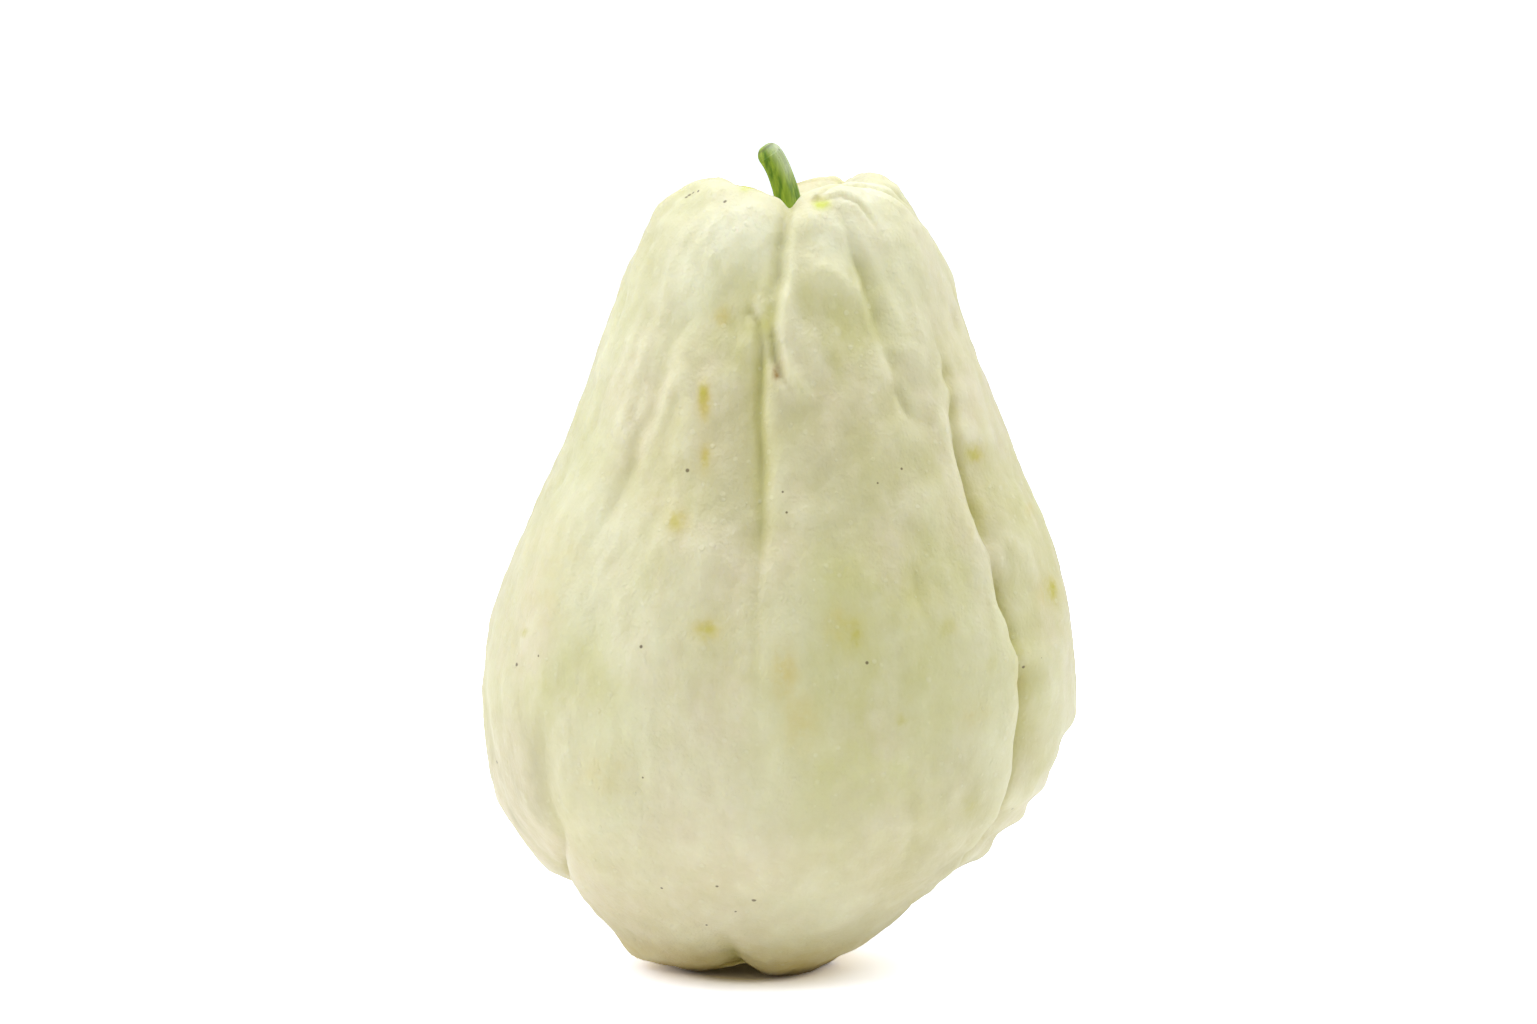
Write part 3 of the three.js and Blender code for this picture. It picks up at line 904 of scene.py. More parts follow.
@dataclass(frozen=True)
class FruitShape:
    """The fruit's surface: an outline swept round the axis, with folds, knobs and ripples.

    Attributes:
        outline: half width and height at each station.
        lean: rows of station and how far the section's middle lies to the right.
        flatness: rows of station and the section's depth as a share of its width.
        section_power: exponent of the section, 2 for an ellipse and more for squarer.
        least_radius: radius on which distances round the fruit are measured near its ends.
        folds: the long valleys, by name.
        knobs: bumps and dents.
        traces: fine grooves and ridges.
        ripples: unevenness of several sizes.
        front_line: rows of station and degrees, for the grid's columns at the front.
        blur_passes: how often the relief is blurred to find the skin's local mean.
        crease_reach: distance over which a crease's colour fades.
        crease_depth: depth of the folds that are fully coloured.
    """

    outline: tuple[Span, ...] = (
        (0, 6.5), (3.2, 4.4), (7.4, 0.8), (11.8, -0.9), (18.2, 3.4),
        (29.0, 12.2), (39.0, 21.5), (45.8, 31.0), (48.7, 43.5), (48.2, 57.0),
        (44.2, 70.5), (38.3, 84.0), (33.3, 97.0), (28.9, 109.0), (24.9, 120.4),
        (19.8, 128.4), (13.4, 132.4), (7.8, 130.2), (4.0, 125.8), (0, 123.2),
    )
    lean: tuple[Span, ...] = (
        (0, -5.6), (3, -5.0), (4, -5.8), (5, -5.2), (6, -3.0), (7, -1.5),
        (9, 0.3), (11, 1.0), (16, 1.2), (19, 1.7),
    )
    flatness: tuple[Span, ...] = (
        (0, 1.1), (2, 1.05), (3, 1.0), (5, 0.90), (8, 0.84),
        (12, 0.86), (15, 0.92), (17, 1.0), (19, 1.0),
    )
    section_power: float = 2.15
    least_radius: float = 3.0
    folds: dict[str, Fold] = field(default_factory=lambda: {
        "front": Fold((
            (12.2, -3, 0), (12.6, -4, 0.8), (13, -5, 1.7), (13.5, -3.8, 2.4), (14.1, -3.2, 2.9),
            (14.6, -1, 3.3), (15.3, 1, 4.9), (16, 1.5, 7.7), (17, 2, 6.8), (18.5, 2, 0),
        ), left=7.5, right=3.8, lumps=0.05),
        "front_low": Fold((
            (7.0, -3, 0), (8.0, -4, 0.3), (9.4, -5.6, 0.5), (10.2, -5.6, 1.1), (10.8, -5.9, 2.0),
            (11.3, -6.4, 2.5), (11.9, -7.8, 2.7), (12.4, -8, 2.0), (12.8, -8.4, 1.0), (13.3, -9.0, 0),
        ), left=7, right=1.3, crease_share=0.22, crease_width=0.9, lumps=0.1),
        "front_right": Fold((
            (11.6, 35, 0), (11.95, 33, 0.6), (12.4, 31.2, 0.9), (12.9, 30.2, 1.1), (13.4, 28.8, 1.7),
            (13.9, 26.5, 2.0), (14.3, 24.6, 1.5), (14.7, 22, 0.7), (15.3, 20, 0),
        ), left=2.8, right=3.6, crease_share=0.15, crease_width=1.3, lumps=0.15),
        "right": Fold((
            (0.8, 112, 0), (2, 110, 1.6), (3.2, 102, 1.2), (4.2, 90, 1.5), (4.8, 78, 2.4), (5.2, 70.5, 3.1),
            (5.6, 66, 3.7), (6.0, 63, 4.2), (6.5, 60, 4.4), (7.1, 57.5, 4.4), (8, 54.5, 4.3), (9, 51.5, 3.9),
            (10, 49.5, 3.3), (11, 49.5, 2.8), (12, 51.5, 1.9), (12.8, 53.5, 0.9), (13.6, 54, 0),
        ), left=2.4, right=6.5, lip=0.5, crease_width=1.1, lumps=0.34),
        "right_shoulder": Fold((
            (12, 88, 0), (13, 84, 0.8), (14.5, 78, 1.4), (15.4, 70, 1.8), (16.2, 60, 2.0), (17.3, 55, 1.6),
            (18.5, 50, 0),
        ), left=3, right=4, tint=0.6),
        "left_shoulder": Fold((
            (11.5, -96, 0), (13, -95, 1.0), (14.5, -92, 1.8), (16, -84, 2.6), (17.3, -72, 1.8),
            (18.5, -70, 0),
        ), left=4, right=4, tint=0.6),
        "left_foot": Fold((
            (0.8, -112, 0), (2, -112, 1.5), (3.3, -106, 1.2), (4.2, -98, 1.4), (4.85, -86, 2.8),
            (5.35, -72, 2.8), (5.8, -60, 2.2), (6.25, -53, 1.7), (6.9, -49.5, 1.2), (7.6, -49.5, 0.6),
            (8.6, -51, 0),
        ), left=6.5, right=3, crease_share=0.25, crease_width=1.6, tint=0.3, lumps=0.08),
        "left_belly": Fold((
            (9.6, -45, 0), (10.4, -44, 0.4), (11.2, -41, 0.5), (12.2, -38, 0.4), (13.2, -36, 0.2),
            (14, -36, 0),
        ), left=4, right=3, tint=0.3),
        "back_right": Fold((
            (4, 104, 0), (5, 112, 2.4), (7, 124, 3.6), (9, 128, 3.6), (12, 130, 3.6), (15, 132, 3.6),
            (16.5, 134, 2.6), (18.5, 134, 0),
        ), left=6, right=5),
        "back": Fold((
            (0.8, 176, 0), (2.2, 176, 2.8), (4, 176, 3.0), (6, 177, 2.4), (8, 179, 1.6), (11, 181, 2.8),
            (14, 186, 4.0), (16, 193, 4.8), (17, 193, 3.4), (18.5, 193, 0),
        ), left=6, right=6),
        "back_left": Fold((
            (4, -108, 0), (5, -114, 2.4), (7, -122, 3.0), (9, -126, 3.0), (12, -128, 3.4), (15, -130, 3.0),
            (16.5, -132, 2.0), (18.5, -132, 0),
        ), left=6, right=6),
        "front_foot": Fold((
            (0.8, -4, 0), (2.2, -4, 3.2), (3.2, -5, 3.8), (4.0, -6, 2.4), (4.7, -7, 0.8), (5.5, -7, 0),
        ), left=5.5, right=3.2, crease_share=0.1, lumps=0.05),
        "right_groove": Fold((
            (5.6, 35, 0), (6.4, 32.5, 0.45), (7.4, 27, 0.6), (8.0, 25, 0.3), (8.5, 24, 0),
        ), left=2.2, right=3.6, crease_width=0.9, tint=0.3),
        "belly_groove": Fold((
            (9.0, 30, 0), (9.5, 28.5, 0.4), (10.1, 27, 0.5), (10.8, 26, 0),
        ), left=2.5, right=3, crease_width=0.9, tint=0.4),
    })
    knobs: tuple[Knob, ...] = tuple(Knob(*row) for row in (
        (14.3, -36, 0.6, 8, 9), (13.5, -13, -0.9, 5, 9), (12.75, -13, 0.5, 3, 3), (13.65, 14, 0.6, 5, 2.6),
        (13.1, 15, -0.8, 5, 5), (12.15, 1.5, 0.9, 2.6, 2.6), (14.6, 9, 0.8, 3, 4), (12.2, 28, 0.7, 2.5, 4),
        (11.6, 30, 0.6, 4, 3), (9.0, -45, -0.8, 9, 9), (9.9, -60, 0.4, 8, 8), (8.0, 82, 1.0, 8, 5),
        (7.1, 86, 1.0, 6, 3.5), (6.4, 90, 1.3, 5, 3.5), (5.75, 92, 1.2, 4.5, 3), (11.3, -27, 0.5, 2, 8),
        (12.0, -66, 0.5, 2.2, 9), (8.5, 0, 0.6, 5, 14), (16.4, -15, -1.3, 7, 8), (16.3, 18, -2.2, 7, 8),
        (16.9, 10, -1.3, 5, 4), (3.2, -28, -0.6, 8, 6), (3.4, 56, -1.2, 8, 7), (4.55, 86, 1.2, 7, 5),
        (13.6, 42, 0.5, 2.5, 3), (13.0, 46, 0.4, 2.5, 3), (14.2, 43, 0.4, 2.6, 2.6), (12.5, 42, 0.4, 2, 3),
        (5.5, -92, 1.7, 9, 5), (4.05, -82, 1.9, 9, 4), (16.7, -10, -0.8, 4, 5), (16.7, 13, -0.7, 4, 4),
        (7.95, 80, 0.6, 6, 2.2), (7.45, 82, 0.5, 6, 1.8), (6.95, 84, 0.6, 6, 1.9), (6.45, 88, 0.5, 6, 1.9),
        (5.85, 92, 0.6, 5, 2.2), (5.25, 97, 1.6, 5, 5), (9.1, 86, -0.4, 6, 2.4), (7.3, 86, -1.6, 9, 10),
        (11.2, -88, -0.35, 12, 13), (7.2, -90, 0.45, 9, 12), (12.9, -92, 0.7, 9, 8), (14.6, -90, 1.0, 8, 6),
        (15.4, 88, 0.8, 8, 7), (9.4, -90, 0.4, 9, 9),
    ))
    traces: tuple[Trace, ...] = (
        Trace((
            (12.2, -8.1, 0), (12.75, -8.2, -0.6), (13.08, -10, -0.8), (13.18, -12.5, -0.6), (13.16, -15.5, 0),
        ), 0.9, 0.7),
        Trace((
            (12.9, -5, -0.8), (12.55, -3.8, -1.1), (12.3, -1.6, -1), (12.15, 1, -0.6), (12, 4.4, 0),
        ), 0.75, 0.6),
        Trace((
            (13.4, -0.9, 0.4), (12.8, -1, 0.55), (12.4, 0.4, 0.7), (12.15, 3.6, 0.6), (11.95, 6.5, 0),
        ), 0.9),
        Trace(((14.9, 3, 0.3), (14.2, 1.8, 0.3), (13.6, 0.6, 0.5), (13.2, -0.4, 0.3)), 1.1),
        Trace((
            (14.05, 2.5, 0.2), (13.9, 5.8, 0.3), (13.8, 11, 0.35), (13.62, 18.5, 0.45), (13.4, 23.5, 0.4),
        ), 1.2),
        Trace((
            (14.4, 21.5, 0.4), (13.9, 24.5, 0.5), (13.4, 25.4, 0.6), (13, 27.6, 0.5), (12.3, 29.4, 0.4),
        ), 1.0),
        Trace((
            (14.5, 27.5, 0.1), (14.1, 31, 0.4), (13.8, 33, 0.45), (13.4, 36, 0.4), (13, 38, 0.4),
            (12.5, 39, 0),
        ), 1.1),
        Trace(((13.5, -52, 0), (12.9, -54, 0.3), (12.2, -55, 0.3), (11.5, -58, 0)), 1.3),
        Trace(((12.1, 31.4, -0.5), (11.85, 34, -0.7), (11.6, 36.6, 0)), 0.8, 0.4),
        Trace((
            (15.1, 13, -0.4), (15.45, 22, -0.7), (15.6, 34, -0.9), (15.45, 50, -0.9), (15, 62, -0.7),
            (14.4, 67, 0),
        ), 0.9, 0.8),
        Trace((
            (15.1, 16, -0.4), (15.1, 26, -0.7), (14.95, 34, -0.7), (14.55, 37, -0.5), (14.2, 39.5, 0),
        ), 0.8, 0.5),
        Trace(((13.1, -36, 0), (12.5, -33, 0.3), (11.9, -28.5, 0.35), (11.2, -26, 0)), 1.2),
        Trace(((12.9, -38.5, 0), (12, -38.8, -0.5), (11.4, -41, -0.5), (10.7, -44, 0)), 1.3, 0.3),
        Trace(((13.6, -45, 0), (12.6, -47, 0.35), (11.6, -48, 0.3), (10.9, -50, 0)), 1.3),
    )
    ripples: tuple[Ripple, ...] = (
        Ripple(0.22, 16, 1.6, 24, 1),
        Ripple(0.13, 7, 1.6, 32, 2, reach=UPPER_WAVES),
        Ripple(0.075, 3.6, 1.3, 40, 3, reach=UPPER_WAVES),
        Ripple(0.10, 6, 2.2, 32, 4, creased=True, reach=UPPER_WAVES),
        Ripple(0.025, 2.2, 1.2, 48, 5),
    )
    front_line: tuple[Span, ...] = (
        (9.4, -5.6), (10.7, -5.8), (11.3, -6.4), (12, -7.6), (12.6, -7.4),
        (13.2, -4.8), (14.1, -3.2), (15.3, 1), (16, 1.5), (18.5, 2),
    )
    blur_passes: int = 40
    crease_reach: float = 1.9
    crease_depth: float = 3.0

    @property
    def top(self) -> int:
        """Number of the last station."""
        return len(self.outline) - 1

    def outline_at(self, station: Values) -> tuple[Values, Values]:
        """Half width and height at stations.

        The outline is the even Catmull-Rom curve through its points. Past each
        end it goes on to its own mirror image over the axis, so it crosses the
        axis level.
        """
        points = np.array(self.outline)
        mirror = np.array([-1.0, 1.0])
        points = np.concatenate([points[1:2] * mirror, points, points[-2:-1] * mirror])
        i = np.clip(np.floor(station).astype(int), 0, self.top - 1)
        f = (station - i)[..., None]
        a, b, c, d = points[i], points[i + 1], points[i + 2], points[i + 3]
        bend = 2 * a - 5 * b + 4 * c - d
        twist = 3 * b - a - 3 * c + d
        curve = 0.5 * (2 * b + (c - a) * f + bend * f**2 + twist * f**3)
        return curve[..., 0], curve[..., 1]

    def envelope(self, turn: Values, station: Values) -> Points:
        """The fruit without folds.

        Its section is |x|^n + |y|^n = 1, scaled to the outline, made shallower
        and moved sideways.
        """
        half_width, height = self.outline_at(station)
        sine, cosine = np.sin(turn), np.cos(turn)
        total = np.abs(sine) ** self.section_power + np.abs(cosine) ** self.section_power
        reach = half_width * total ** (-1 / self.section_power)
        x = smooth_through(self.lean, station) + reach * sine
        y = -reach * cosine * smooth_through(self.flatness, station)
        return np.stack([x, y, height], -1)

    def envelope_normal(self, turn: Values, station: Values) -> Points:
        """Outward normal of the envelope: the cross product of small steps around and along."""
        step = 1e-3
        inner = np.clip(station, 2 * step, self.top - 2 * step)
        around = self.envelope(turn + step, station) - self.envelope(turn - step, station)
        along = self.envelope(turn, inner + step) - self.envelope(turn, inner - step)
        normal = np.cross(around, along)
        return normal / np.maximum(np.linalg.norm(normal, axis=-1, keepdims=True), 1e-12)

    def radius_at(self, station: Values) -> Values:
        """Radius on which distances round the fruit are measured."""
        return np.maximum(self.outline_at(station)[0], self.least_radius)

    def relief(self, turn: Values, station: Values) -> Values:
        """Height of the skin over the envelope: knobs, traces and ripples less the folds."""
        points = self.envelope(turn, station)
        radius = self.radius_at(station)
        height = sum(knob.rise(turn, station, radius) for knob in self.knobs)
        height = height + sum(trace.bell(turn, station) for trace in self.traces)
        height = height + sum(ripple.rise(points, station) for ripple in self.ripples)
        return height - sum(fold.depth(turn, station, radius) for fold in self.folds.values())

    def surface(self, turn: Values, station: Values) -> Points:
        """Points of the skin: the envelope moved along its normal, and pressed flat at the ground."""
        height = self.relief(turn, station)
        points = self.envelope(turn, station) + self.envelope_normal(turn, station) * height[..., None]
        points[..., 2] = np.maximum(points[..., 2], 0)
        return points

    def grid(self, columns: int, rows: int) -> tuple[Values, Values]:
        """Turns and stations of a grid whose columns bend to run along the followed folds.

        Between two followed folds the columns share out the space evenly.

        Args:
            columns: number of columns round the fruit.
            rows: number of rings, with both ends.

        Returns:
            Turns and stations, as arrays of rings and columns.
        """
        station = np.linspace(0, self.top, rows)[:, None]
        even = -180 + 360 * np.arange(columns)[None, :] / columns
        station, even = np.broadcast_arrays(station, even)
        lines = (
            (-180.0, ((0, -180), (self.top, -180))), (-72.0, self.folds["left_foot"].path),
            (0.0, self.front_line), (60.0, self.folds["right"].path), (180.0, ((0, 180), (self.top, 180))),
        )
        stops = [(degrees, smooth_through(line, station)) for degrees, line in lines]
        bent = np.zeros_like(station)
        for (start, bent_start), (end, bent_end) in zip(stops, stops[1:]):
            share = (even - start) / (end - start)
            inside = (share >= 0) & (share < 1)
            bent = np.where(inside, bent_start + (bent_end - bent_start) * share, bent)
        return np.radians(bent), np.array(station)

    def crease_tint_and_shade_mask(self, turn: Values, station: Values) -> Values:
        """1 in the bottom of a deep crease, falling off beside it and where folds are shallow."""
        radius = self.radius_at(station)
        mask = np.zeros_like(turn)
        for fold in self.folds.values():
            near = np.exp(-np.abs(fold.distance(turn, station, radius) / self.crease_reach))
            deep = np.clip(fold.strength(station) / self.crease_depth, 0, 1)
            mask = np.maximum(mask, near * fold.tint * deep)
        for trace in self.traces:
            mask = np.maximum(mask, -trace.bell(turn, station) * trace.tint)
        return mask

    def hollow(self, turn: Values, station: Values) -> Values:
        """Height below the skin's own local mean, which is the relief blurred over the grid."""
        height = self.relief(turn, station)
        mean = height
        for _ in range(self.blur_passes):
            mean = (np.roll(mean, 1, 1) + 2 * mean + np.roll(mean, -1, 1)) / 4
            padded = np.pad(mean, ((1, 1), (0, 0)), mode="edge")
            mean = (padded[:-2] + 2 * mean + padded[2:]) / 4
        return mean - height


@dataclass(frozen=True)
class Fruit:
    """The fruit, as a fine skin with its marks stored on it.

    Attributes:
        shape: its surface.
        finish: its skin.
        view: the photograph's view, which places the marks on the front.
        columns: vertices round the fruit.
        rows: rings from cleft to hollow.
        valley_shade_depth: depth below the local mean that is fully coloured with painted shade.
        ridge_highlight_height: height over the local mean that is fully coloured as painted highlight.
        crown_heights: heights between which the crown's colour and its painted light from above set in.
        top_heights: heights between which the crown's colour falls to a half.
        low_heights: heights between which the lower part's colour fades.
        foot_heights: heights between which the foot's ochre and painted shade fade.
        contact_shade_heights: heights between which the painted shade where the fruit meets the floor fades.
        marks: coloured marks on the front.
        back_marks: coloured marks elsewhere.
    """

    view: PhotoView
    shape: FruitShape = FruitShape()
    finish: SkinFinish = SkinFinish()
    columns: int = 400
    rows: int = 246
    valley_shade_depth: float = 1.1
    ridge_highlight_height: float = 0.5
    crown_heights: Span = (92, 118)
    top_heights: Span = (123, 131)
    low_heights: Span = (5, 58)
    foot_heights: Span = (0, 9)
    contact_shade_heights: Span = (0.2, 2.0)
    marks: tuple[Mark, ...] = tuple(Mark(tint, *row) for tint, rows in {
        Tint.OCHRE: (
            (722, 316, 9, 11, 0.5), (704, 400, 7, 22, 0.8), (706, 458, 7, 18, 0.7), (677, 520, 12, 15, 0.5),
            (706, 629, 16, 14, 0.5), (784, 672, 16, 30, 0.5), (800, 720, 20, 30, 0.35),
            (842, 628, 16, 22, 0.4), (979, 456, 6, 7, 0.7), (1050, 592, 13, 16, 0.5), (1021, 682, 5, 9, 0.6),
            (817, 199, 9, 3, 0.6), (605, 775, 26, 24, 0.25), (748, 945, 40, 14, 0.3),
            (800, 948, 120, 18, 0.2), (560, 560, 34, 40, 0.18), (545, 600, 20, 30, 0.2),
            (975, 715, 16, 14, 0.3), (1030, 510, 5, 6, 0.4), (972, 535, 3, 9, 0.4),
        ),
        Tint.YELLOW: (
            (703, 393, 4, 9, 0.5), (706, 462, 4, 8, 0.35), (675, 522, 7, 9, 0.3), (707, 630, 9, 8, 0.4),
            (848, 632, 14, 18, 0.35), (855, 640, 6, 8, 0.9), (975, 453, 9, 9, 0.6), (1052, 590, 6, 9, 0.75),
            (991, 664, 4, 8, 0.45), (949, 629, 9, 12, 0.3), (901, 719, 5, 5, 0.4), (524, 632, 3, 4, 0.5),
            (970, 806, 8, 10, 0.3),
        ),
        Tint.LEMON: ((821, 204, 9, 6, 1.0), (747, 188, 8, 4, 0.6), (868, 780, 60, 36, 0.12)),
        # Green patches; the ones down the neck's groove also paint its shade.
        Tint.GREEN: (
            (570, 680, 44, 34, 0.4), (850, 740, 62, 60, 0.42), (880, 700, 30, 40, 0.4),
            (900, 340, 40, 120, 0.12), (880, 660, 90, 130, 0.25), (885, 795, 95, 62, 0.25),
            (880, 450, 36, 90, 0.25), (1012, 560, 18, 50, 0.35), (957, 560, 16, 110, 0.2),
            (885, 590, 60, 60, 0.45), (1040, 640, 30, 90, 0.2), (826, 334, 50, 70, 0.45),
            (735, 315, 34, 60, 0.55), (925, 480, 50, 90, 0.1), (763, 338, 13, 46, 0.8),
        ),
        Tint.BROWN: ((777, 372, 4, 9, 0.9),),
        # Pale marks: partly the skin's pale mottling, partly painted light where the shoulder and neck are
        # lit.
        Tint.PALE_AND_HIGHLIGHT: (
            (742, 240, 50, 40, 1.0), (846, 240, 34, 32, 0.9), (965, 680, 30, 120, 0.15),
            (700, 284, 34, 44, 0.7), (872, 262, 34, 46, 0.4), (856, 230, 46, 34, 0.6),
            (603, 400, 22, 90, 0.3), (528, 600, 30, 110, 0.35), (856, 192, 44, 14, 0.8),
            (788, 615, 34, 56, 0.25), (737, 745, 40, 40, 0.2), (778, 250, 18, 52, 0.7),
            (722, 258, 30, 34, 0.6), (913, 390, 16, 40, 0.4), (635, 645, 40, 50, 0.45),
            (640, 700, 30, 60, 0.3), (592, 560, 50, 90, 0.4), (497, 630, 20, 60, 0.3),
            (566, 480, 16, 60, 0.35), (688, 600, 30, 44, 0.3), (580, 745, 40, 60, 0.25),
            (1013, 600, 20, 40, 0.3), (1068, 700, 16, 60, 0.4), (995, 750, 20, 60, 0.3),
            (700, 800, 120, 80, 0.3), (790, 905, 90, 40, 0.25), (900, 290, 26, 60, 0.4),
        ),
        # Greyish marks that paint shade in the neck and in the valleys.
        Tint.PAINTED_SHADE: (
            (995, 545, 26, 30, 0.5), (512, 800, 34, 76, 0.75), (962, 790, 28, 50, 0.3),
            (655, 240, 26, 80, 0.1), (788, 615, 34, 56, 0.2), (942, 862, 34, 30, 0.35),
            (735, 470, 34, 150, 0.3), (850, 440, 80, 110, 0.3), (592, 560, 50, 90, 0.08),
            (810, 340, 34, 42, 0.45), (782, 388, 14, 34, 0.5), (745, 330, 30, 24, 0.3),
            (925, 335, 20, 70, 0.25), (900, 505, 24, 60, 0.2),
        ),
    }.items() for row in rows)
    back_marks: tuple[BackMark, ...] = tuple(BackMark(*row) for row in (
        (Tint.GREEN, 7.5, 150, 14, 1.4, 0.6), (Tint.OCHRE, 9.5, 165, 5, 0.5, 0.5),
        (Tint.YELLOW, 9.4, 166, 2, 0.2, 0.7), (Tint.OCHRE, 6.5, -150, 7, 0.8, 0.5),
        (Tint.YELLOW, 11.5, -160, 2, 0.4, 0.5), (Tint.OCHRE, 11.3, -160, 4, 0.7, 0.5),
        (Tint.PALE_AND_HIGHLIGHT, 9.0, -170, 12, 1.6, 0.5), (Tint.GREEN, 10.5, -110, 9, 1.2, 0.5),
        (Tint.OCHRE, 8.0, 112, 6, 0.7, 0.5), (Tint.YELLOW, 7.9, 113, 2, 0.25, 0.6),
        (Tint.OCHRE, 12.5, 150, 3, 0.5, 0.45), (Tint.GREEN, 13.5, 172, 6, 0.9, 0.5),
    ))

    def place(self) -> np.ndarray:
        """What moves the fruit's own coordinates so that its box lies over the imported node's."""
        low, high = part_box("fruit")
        node = np.array([(low[0] + high[0]) / 2, (low[1] + high[1]) / 2, 0]) / METRES
        turn, station = self.shape.grid(self.columns, self.rows)
        return node - middle_of(self.shape.surface(turn, station))

    def build(self, effects: PlantEffects, shift: np.ndarray) -> bpy.types.Object:
        """Builds and dresses the fruit.

        Args:
            effects: the shared node groups.
            shift: what moves its own coordinates into the row's frame.

        Returns:
            The finished piece.
        """
        turn, station = self.shape.grid(self.columns, self.rows)
        points = self.shape.surface(turn, station) + shift
        mesh = closed_skin("chayote_fruit", points)
        column, row = self.view.pixels_of(points)
        facing = self.view.facing(self.shape.envelope_normal(turn, station))
        for name, layer in self.layers(turn, station, points[..., 2], (column, row, facing)).items():
            set_attribute(mesh, name, layer)
        mesh.materials.append(self.finish.material(effects, self.dots(points, column, row, facing)))
        return add_piece(mesh, "fruit")

    def layers(self, turn: Values, station: Values, height: Values,
               seen: tuple[Values, Values, Values]) -> dict[str, Values]:
        """Values to store on the skin, by name.

        Args:
            turn: angles round the fruit.
            station: stations along it.
            height: heights over the floor.
            seen: the photograph's columns and rows, and how far the skin faces the camera.

        Returns:
            Where each tint and each part of the skin has its colour, from 0 to 1.
        """
        column, row, facing = seen
        radius = self.shape.radius_at(station)
        layers = {tint.value: np.zeros_like(turn) for tint in Tint}
        weights = [(mark.tint.value, mark.weight(column, row) * facing) for mark in self.marks]
        weights += [(mark.tint.value, mark.weight(turn, station, radius)) for mark in self.back_marks]
        for name, weight in weights:
            layers[name] = np.maximum(layers[name], weight)
        hollow = self.shape.hollow(turn, station)
        # The folds' own tint and painted shade along their creases.
        layers["crease"] = self.shape.crease_tint_and_shade_mask(turn, station)
        # Painted shade in the hollows, in the crease colour, deeper where the skin lies lower than its local
        # mean.
        layers["valley"] = np.clip(hollow / self.valley_shade_depth, 0, 1)
        # Painted highlight on the ridges, in the pale colour.
        layers["ridge"] = np.clip(-hollow / self.ridge_highlight_height, 0, 1)
        # The crown's paler tone, which also paints light from above, sets in towards the top.
        fade = 0.5 * smooth_step(height, *self.top_heights)
        layers["crown"] = smooth_step(height, *self.crown_heights) * (1 - fade)
        layers["low"] = 1 - smooth_step(height, *self.low_heights)
        # Ochre with painted shade, strongest at the floor.
        layers["foot"] = 1 - smooth_step(height, *self.foot_heights)
        # Painted shade in the lowest two millimetres, where the fruit meets the floor.
        layers["under"] = 1 - smooth_step(height, *self.contact_shade_heights)
        return layers

    def dots(self, points: Points, column: Values, row: Values, facing: Values) -> Points:
        """Middle and radius of each single dot, in metres, on the skin that its pixel shows."""
        hidden = 1e3 * (facing < 0.5)
        found = []
        for across, down, size in self.finish.specks:
            miss = np.hypot(column - across, row - down) + hidden
            middle = points.reshape(-1, 3)[np.argmin(miss)]
            found.append([*(middle * METRES), size * METRES])
        return np.array(found)


